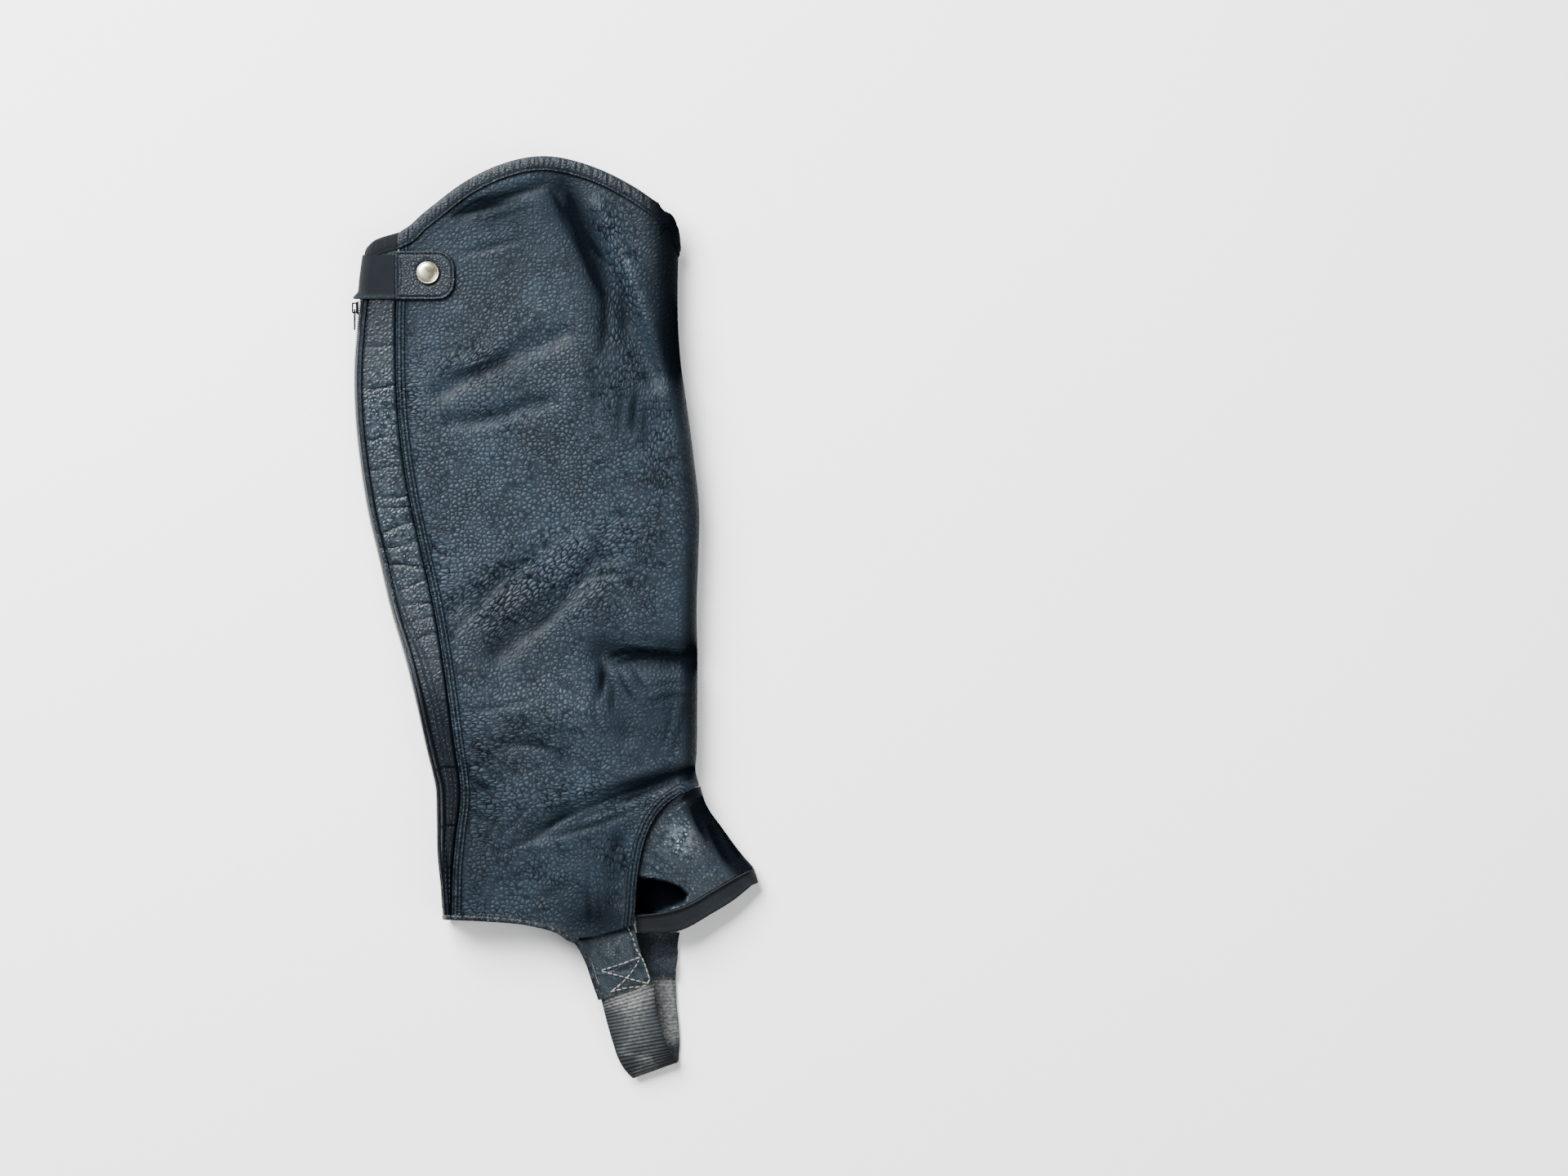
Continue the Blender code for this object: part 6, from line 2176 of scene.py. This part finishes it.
@dataclass
class Snap:
    """The snap closure at the top: leather tab, elastic band and cap."""

    form: LegForm
    shop: Workshop

    def edge_inset(self, x: Array, y: Array) -> Array:
        """Distance inside the tab's outline.

        Args:
            x: Places' X.
            y: Places' Y.

        Returns:
            The distances.
        """
        middle, half = SNAP_MIDDLE, SNAP_HALF
        dx = np.maximum(x - (SNAP_FRONT - SNAP_CORNER), 0.0)
        dy = np.maximum(np.abs(y - middle) - (half - SNAP_CORNER), 0.0)
        side = SNAP_CORNER - np.hypot(dx, dy)
        return np.minimum(side, x - SNAP_BACK)

    def tab(self) -> Piece:
        """The leather tab with rounded front corners.

        Returns:
            The object.
        """
        middle, half = SNAP_MIDDLE, SNAP_HALF
        y = middle + half * np.sin(np.linspace(math.pi / 2, -math.pi / 2, 61))
        corner = np.maximum(np.abs(y - middle) - (half - SNAP_CORNER), 0.0)
        front = SNAP_FRONT - SNAP_CORNER + np.sqrt(np.maximum(SNAP_CORNER ** 2 - corner ** 2, 0.0))
        shares = np.sin(np.linspace(0, math.pi / 2, 61))
        x = SNAP_BACK + (front[:, None] - SNAP_BACK) * shares[None, :]
        y = np.broadcast_to(y[:, None], x.shape)
        inset = self.edge_inset(x, y)
        z = self.form.outer_height(x, y, False) + SEAM_GAP + LEATHER
        z = z + 0.35 * bump(inset - 0.9, 0.7) - 0.5 * bump(inset - SNAP_RIM_INSET, 0.4)
        z = z - 0.5 * (1 - ease(inset / 0.5))
        cap = np.hypot(x - CAP_CENTRE[0], y - CAP_CENTRE[1])
        z = z - 0.5 * bump(cap - CAP_RADIUS, 1.2)
        z = z - 0.45 * bump(x - SNAP_BACK - 3.6, 0.4)
        sheet = Sheet(np.stack([x, y, z], -1))

        def shade(p: Array) -> Array:
            """Painted shade in the stitch groove and in a ring round the cap.

            Args:
                p: Points of the skin.

            Returns:
                Painted shade, 0 to 1.
            """
            rim = self.edge_inset(p[:, 0], p[:, 1])
            groove = 0.7 * bump(rim - SNAP_RIM_INSET, 0.5)
            ring = 0.6 * bump(np.hypot(p[:, 0] - CAP_CENTRE[0], p[:, 1] - CAP_CENTRE[1]) - CAP_RADIUS, 0.8)
            return groove + ring

        def wear(p: Array) -> Array:
            """Its rubbed rim."""
            return 0.08 + 0.4 * bump(self.edge_inset(p[:, 0], p[:, 1]) - 0.7, 0.6)

        return sheet.wall(self.shop, "snap_leather", LEATHER, Finish.BINDING,
                          {"shade": shade, "wear": wear})

    def band(self) -> Piece:
        """Elastic band round the back edge.

        Returns:
            The object.
        """
        v = np.linspace(0, 1, 41)[:, None]
        y = BAND_TOP + (BAND_BOTTOM - BAND_TOP) * v
        corner = self.form.leg.back(y) + self.form.leg.back_r(y)
        last = STRIP + (SNAP_BACK - SEAM_GAP - corner) / (self.form.strip_seam(y) - corner)
        codes = np.linspace(0, 1, 71)[None, :]
        girth = BAND_END_GIRTH + (last - BAND_END_GIRTH) * codes
        lift = BAND_FLARE * ease(1.0 - (y - BAND_BOTTOM) / BAND_FLARE_REACH)
        flare = np.where(girth < STRIP, lift * bump(girth - BAND_FLARE_GIRTH, BAND_FLARE_SPREAD), 0.0)
        ridge = np.where(girth > 3.9, 0.5 * bump(y - BAND_BOTTOM - 1.2, 0.9), 0.0)
        sheet = Sheet(self.form.skin(girth, y, SEAM_GAP + BAND_WALL + flare + ridge, False))

        def shade(p: Array) -> Array:
            """Painted shade along its turned edge and at its back."""
            return 0.5 * bump(p[:, 1] - BAND_BOTTOM - 3.0, 0.7) + 0.55 * ease((-110.5 - p[:, 0]) / 6.0)

        return sheet.wall(self.shop, "snap_band", BAND_WALL, Finish.BAND, {
            "shade": shade, "wear": lambda p: bump(p[:, 1] - BAND_BOTTOM - 1.0, 1.0) + 0.1})

    def threads(self) -> Piece:
        """Two stitch columns at the tab's back and one row inside its edge.

        Returns:
            The object.
        """
        middle, half = SNAP_MIDDLE, SNAP_HALF
        lines = []
        for inset in (1.6, 3.6):
            y = np.linspace(middle + half - 2.2, middle - half + 2.2, 40)
            lines.append(np.stack([np.full(40, SNAP_BACK + inset), y], -1))
        radius = SNAP_CORNER - SNAP_RIM_INSET
        turns = np.linspace(math.pi / 2, 0, 12)
        centre = np.array([SNAP_FRONT - SNAP_CORNER, middle + half - SNAP_CORNER])
        upper = centre + radius * np.stack([np.cos(turns), np.sin(turns)], -1)
        lower = upper[::-1] * (1, -1) + (0, 2 * middle)
        start = np.array([[SNAP_BACK + 5.0, middle + half - SNAP_RIM_INSET]])
        lines.append(np.concatenate([start, upper, lower, start * (1, -1) + (0, 2 * middle)]))
        placed = []
        for line in lines:
            line = path(line)(np.linspace(0, 1, 90))
            placed.append(self.form.face(line, SEAM_GAP + LEATHER - 0.25, False))
        return Stitching(self.shop, "snap_threads", 1.9, 0.7, 0.26).build(placed)

    def cap(self) -> Piece:
        """The domed cap, turned from its profile, with a rolled rim.

        Returns:
            The object.
        """
        x, y = CAP_CENTRE
        base = float(self.form.outer_height(np.array(x), np.array(y), False)) + SEAM_GAP + LEATHER
        base += CAP_GAP
        turns = 2 * math.pi * np.arange(CAP_SIDES) / CAP_SIDES
        points, faces = [], []
        for radius, height in CAP_PROFILE:
            ring = np.stack([x + CAP_RADIUS * radius * np.cos(turns),
                             y + CAP_RADIUS * radius * np.sin(turns),
                             np.full(CAP_SIDES, base + CAP_HEIGHT * height)], -1)
            points.append(ring)
        rings = len(points)
        ends = np.array([[x, y, base], [x, y, base + CAP_HEIGHT]])
        points = np.concatenate(points + [ends])
        foot = rings * CAP_SIDES
        for k in range(CAP_SIDES):
            n = (k + 1) % CAP_SIDES
            faces.append((foot, n, k))
            faces.append((foot + 1, (rings - 1) * CAP_SIDES + k, (rings - 1) * CAP_SIDES + n))
            for ring in range(rings - 1):
                low, high = ring * CAP_SIDES, (ring + 1) * CAP_SIDES
                faces.append((low + k, low + n, high + n, high + k))
        return self.shop.mesh("snap_button", points, faces, Finish.CAP, sharp=60.0)


@dataclass
class Zip:
    """The closed zip down the back edge: tapes, coil, slider and pull."""

    form: LegForm
    shop: Workshop
    frame: dict

    def tape(self) -> Piece:
        """Both tapes as one band.

        Returns:
            The object.
        """
        top = float(self.form.top_edge(np.array(ZIP_GIRTH)))
        y = np.linspace(top, BACK_HEM, 240)[:, None]
        half = self.form.zip_half_girth(y, ZIP_HALF_WIDTH - HALF_GAP)
        side = np.linspace(-1, 1, 13)[None, :]
        out = -0.5 * bump(side, 0.45)
        sheet = Sheet(self.form.skin(ZIP_GIRTH + side * half, y, out))
        return sheet.wall(self.shop, "zip_tapes", TAPE_WALL, Finish.TAPE)

    def coil(self) -> Piece:
        """Turns of the coil, in two rows that mesh.

        Returns:
            The object.
        """
        y = np.arange(COIL_TOP, BACK_HEM + 4.0, -COIL_PITCH)
        side = np.where(np.arange(len(y)) % 2 == 1, 1.0, -1.0)[:, None]
        arc = np.linspace(-0.35, 1.0, 5)[None, :]
        lift = 0.35 * np.sqrt(np.clip(1 - ((arc - 0.3) / 0.75) ** 2, 0, 1)) - 0.15
        girth = ZIP_GIRTH + arc * side * self.form.zip_half_girth(y, COIL_REACH)[:, None]
        cores = self.form.skin(girth, np.broadcast_to(y[:, None], girth.shape), lift + 0 * girth)
        ahead = np.gradient(cores, axis=1)
        ahead /= np.linalg.norm(ahead, axis=-1, keepdims=True)
        out = np.cross(ahead, [0.0, 1.0, 0.0])
        out /= np.linalg.norm(out, axis=-1, keepdims=True)
        wide, thick = COIL_THREAD
        corners = [cores + np.array([0.0, across, 0.0]) + up * out
                   for across, up in ((-wide, 0.0), (0.0, thick), (wide, 0.0), (0.0, -thick))]
        points = np.stack(corners, 2).reshape(-1, 3)
        faces = [face for start in range(0, len(points), 20) for face in tube_faces(start, 5, 4)]
        piece = self.shop.mesh("zip_coil", points, faces, Finish.COIL)
        turn_outwards(piece)
        return piece

    def hard_copy(self, node: str, name: str, bevel: float) -> Piece:
        """Copy of a frame node with merged corners and broken edges.

        Args:
            node: The node.
            name: The copy's name.
            bevel: Width of the broken edges.

        Returns:
            The copy.
        """
        source = self.frame["nodes"][node]
        copy = bpy.data.objects.new(name, source.data.copy())
        bpy.context.scene.collection.objects.link(copy)
        copy.matrix_world = source.matrix_world.copy()
        choose(copy)
        bpy.ops.object.transform_apply(location=True, rotation=True, scale=True)
        bpy.ops.object.mode_set(mode="EDIT")
        bpy.ops.mesh.select_all(action="SELECT")
        bpy.ops.mesh.remove_doubles(threshold=0.01 * MM)
        bpy.ops.mesh.dissolve_limited(angle_limit=math.radians(1.0))
        bpy.ops.object.mode_set(mode="OBJECT")
        edge = copy.modifiers.new("broken edges", "BEVEL")
        edge.width, edge.segments, edge.limit_method = bevel * MM, 3, "ANGLE"
        copy.data.materials.clear()
        copy.data.materials.append(self.shop.materials[Finish.NICKEL])
        bpy.ops.object.shade_smooth_by_angle(angle=math.radians(40.0))
        return copy


def choose(piece: Piece) -> None:
    """Makes a piece the only one chosen.

    Args:
        piece: The piece.
    """
    bpy.ops.object.select_all(action="DESELECT")
    piece.select_set(True)
    bpy.context.view_layer.objects.active = piece


def turn_outwards(piece: Piece) -> None:
    """Points the faces of a closed piece outwards.

    Args:
        piece: The piece.
    """
    choose(piece)
    bpy.ops.object.mode_set(mode="EDIT")
    bpy.ops.mesh.select_all(action="SELECT")
    bpy.ops.mesh.normals_make_consistent(inside=False)
    bpy.ops.object.mode_set(mode="OBJECT")


@dataclass
class Studio:
    """Pale floor, soft light and the camera straight above, as in the photo."""

    view_centre: tuple[float, float] = (0.1337, 0.0173)
    view_width: float = 0.9216
    distance: float = 6.0
    sensor: float = 36.0

    def floor(self) -> Piece:
        """The floor.

        Returns:
            The object.
        """
        bpy.ops.mesh.primitive_plane_add(size=12.0, location=(0.0, 0.0, -0.0003))
        floor = bpy.context.object
        floor.name = "floor"
        dye = Dye("pale_floor")
        cloud = dye.n.add("TexNoise", {"Vector": dye.coords["Object"], "Scale": 3.0})["Fac"]
        colour = dye.n.mix(cloud, (0.88, 0.885, 0.89, 1.0), (0.92, 0.92, 0.92, 1.0))
        dye.n.set(dye.shader, {"Base Color": colour, "Roughness": 0.9, "Specular IOR Level": 0.1})
        floor.data.materials.append(dye.material)
        return floor

    def light(self, name: str, place: tuple, power: float, size: float) -> None:
        """A soft area light aimed at the chap.

        Args:
            name: Its name.
            place: Where it hangs.
            power: Its power in watts.
            size: Side of the light.
        """
        data = bpy.data.lights.new(name, "AREA")
        data.energy, data.size = power, size
        lamp = bpy.data.objects.new(name, data)
        lamp.location = place
        lamp.rotation_euler = (-Vector(place)).to_track_quat("-Z", "Y").to_euler()
        bpy.context.scene.collection.objects.link(lamp)

    def build(self) -> None:
        """Sets the stage."""
        self.floor()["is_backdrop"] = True
        for name, (place, power, size) in LIGHTS.items():
            self.light(name, place, power, size)
        world = bpy.data.worlds.new("studio")
        bpy.context.scene.world = world
        world.use_nodes = True
        world.node_tree.nodes["Background"].inputs["Color"].default_value = (0.93, 0.96, 1.0, 1.0)
        world.node_tree.nodes["Background"].inputs["Strength"].default_value = 0.22
        data = bpy.data.cameras.new("camera")
        data.sensor_width = self.sensor
        data.lens = self.sensor * self.distance / self.view_width
        camera = bpy.data.objects.new("camera", data)
        camera.location = (*self.view_centre, self.distance)
        bpy.context.scene.collection.objects.link(camera)
        bpy.context.scene.camera = camera


@dataclass
class HalfChap:
    """The whole half chap, dressed piece by piece."""

    frame: dict

    def declare(self, piece: Piece, node: str, slot: str, cut: Cut,
                with_pieces: Sequence[Piece] = ()) -> None:
        """Places a cloth piece.

        Args:
            piece: The piece.
            node: Frame node that it stands for.
            slot: The record's material slot.
            cut: The cut; not used.
            with_pieces: Stitching on it; not used.
        """
        self.shop.place(piece, [node], slot)

    def build(self) -> None:
        """Makes every piece."""
        self.shop = Workshop()
        form = LegForm()
        leg = Leg(form, self.shop)
        gusset = Gusset(form, self.shop)
        stirrup = Stirrup(form, self.shop)
        snap = Snap(form, self.shop)
        zip_ = Zip(form, self.shop, self.frame)
        threads = {key: self.shop.place(maker(), [], None) for key, maker in (
            ("leg", leg.threads), ("tab", stirrup.threads), ("inner", stirrup.edge_threads),
            ("snap", snap.threads))}
        coil = self.shop.place(zip_.coil(), [], "zip_tape")
        panel_codes = joined(np.linspace(0, 1, 241), (1, 2, 41), (2, 3, 101), (3, 3.5, 13))
        strip_codes = joined(np.linspace(3.5, 4, 21), (4, 5, 25))
        top = leg.binding("top_edge", panel_codes, form.panel_girth, BINDING_WIDTH, Finish.BINDING,
                          0.42, LEATHER)
        strip_top = leg.binding("strip_edge", strip_codes, form.strip_girth, STRIP_BINDING_WIDTH,
                                Finish.WEBBING, 0.2, LEATHER)
        declare = self.declare
        declare(leg.body_panel(), "body_panel", "pebbled_leather", Cut(0.400, 0.456, 0.135),
                [threads["leg"]])
        declare(leg.back_strip(), "back_strip", "smooth_leather", Cut(0.028, 0.394, 0.0090))
        declare(top, "top_binding", "pebbled_leather", Cut(0.405, 0.0103, 0.00376))
        declare(strip_top, "strip_binding", "dark_webbing", Cut(0.024, 0.0109, 0.00023))
        declare(leg.hem(True), "hem_binding_outer", "dark_leather", Cut(0.127, 0.0100, 0.00054))
        declare(leg.hem(False), "hem_binding_inner", "dark_leather", Cut(0.118, 0.0100, 0.00050))
        declare(gusset.leather(), "instep_gusset", "smooth_leather", Cut(0.168, 0.095, 0.0071))
        declare(gusset.band(), "gusset_binding", "dark_webbing", Cut(0.161, 0.0119, 0.00187))
        declare(stirrup.outer_tab(), "stirrup_tab_outer", "smooth_leather", Cut(0.0355, 0.0434, 0.00121),
                [threads["tab"]])
        declare(stirrup.elastic(), "stirrup_elastic", "ribbed_elastic", Cut(0.0296, 0.1317, 0.00385))
        declare(stirrup.inner_tab(), "stirrup_tab_inner", "rough_leather", Cut(0.0313, 0.0265, 0.00082),
                [threads["inner"]])
        declare(snap.tab(), "snap_tab", "pebbled_leather", Cut(0.0350, 0.0287, 0.00096),
                [threads["snap"]])
        declare(snap.band(), "snap_elastic", "dark_elastic",
                Cut(0.031, 0.0261, 0.00080, Held.STRETCHED))
        declare(zip_.tape(), "zip_chain", "zip_tape", Cut(0.010, 0.3975, 0.00225), [coil])
        self.shop.place(snap.cap(), ["snap_cap"], "cap_metal")
        self.shop.place(zip_.hard_copy("zip_slider", "slider", 0.25), ["zip_slider"], "zip_metal")
        self.shop.place(zip_.hard_copy("zip_pull", "pull_tab", 0.2), ["zip_pull"], "zip_metal", "pull")


def main() -> None:
    """Loads the frame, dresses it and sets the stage."""
    logging.basicConfig(level=logging.INFO)
    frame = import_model()
    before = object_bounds()
    HalfChap(frame).build()
    Studio().build()
    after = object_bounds()
    sizes = {"cad": [list(corner) for corner in before], "dressed": [list(corner) for corner in after]}
    LOG.info("cad %s, dressed %s", *sizes.values())


if __name__ == "__main__":
    main()
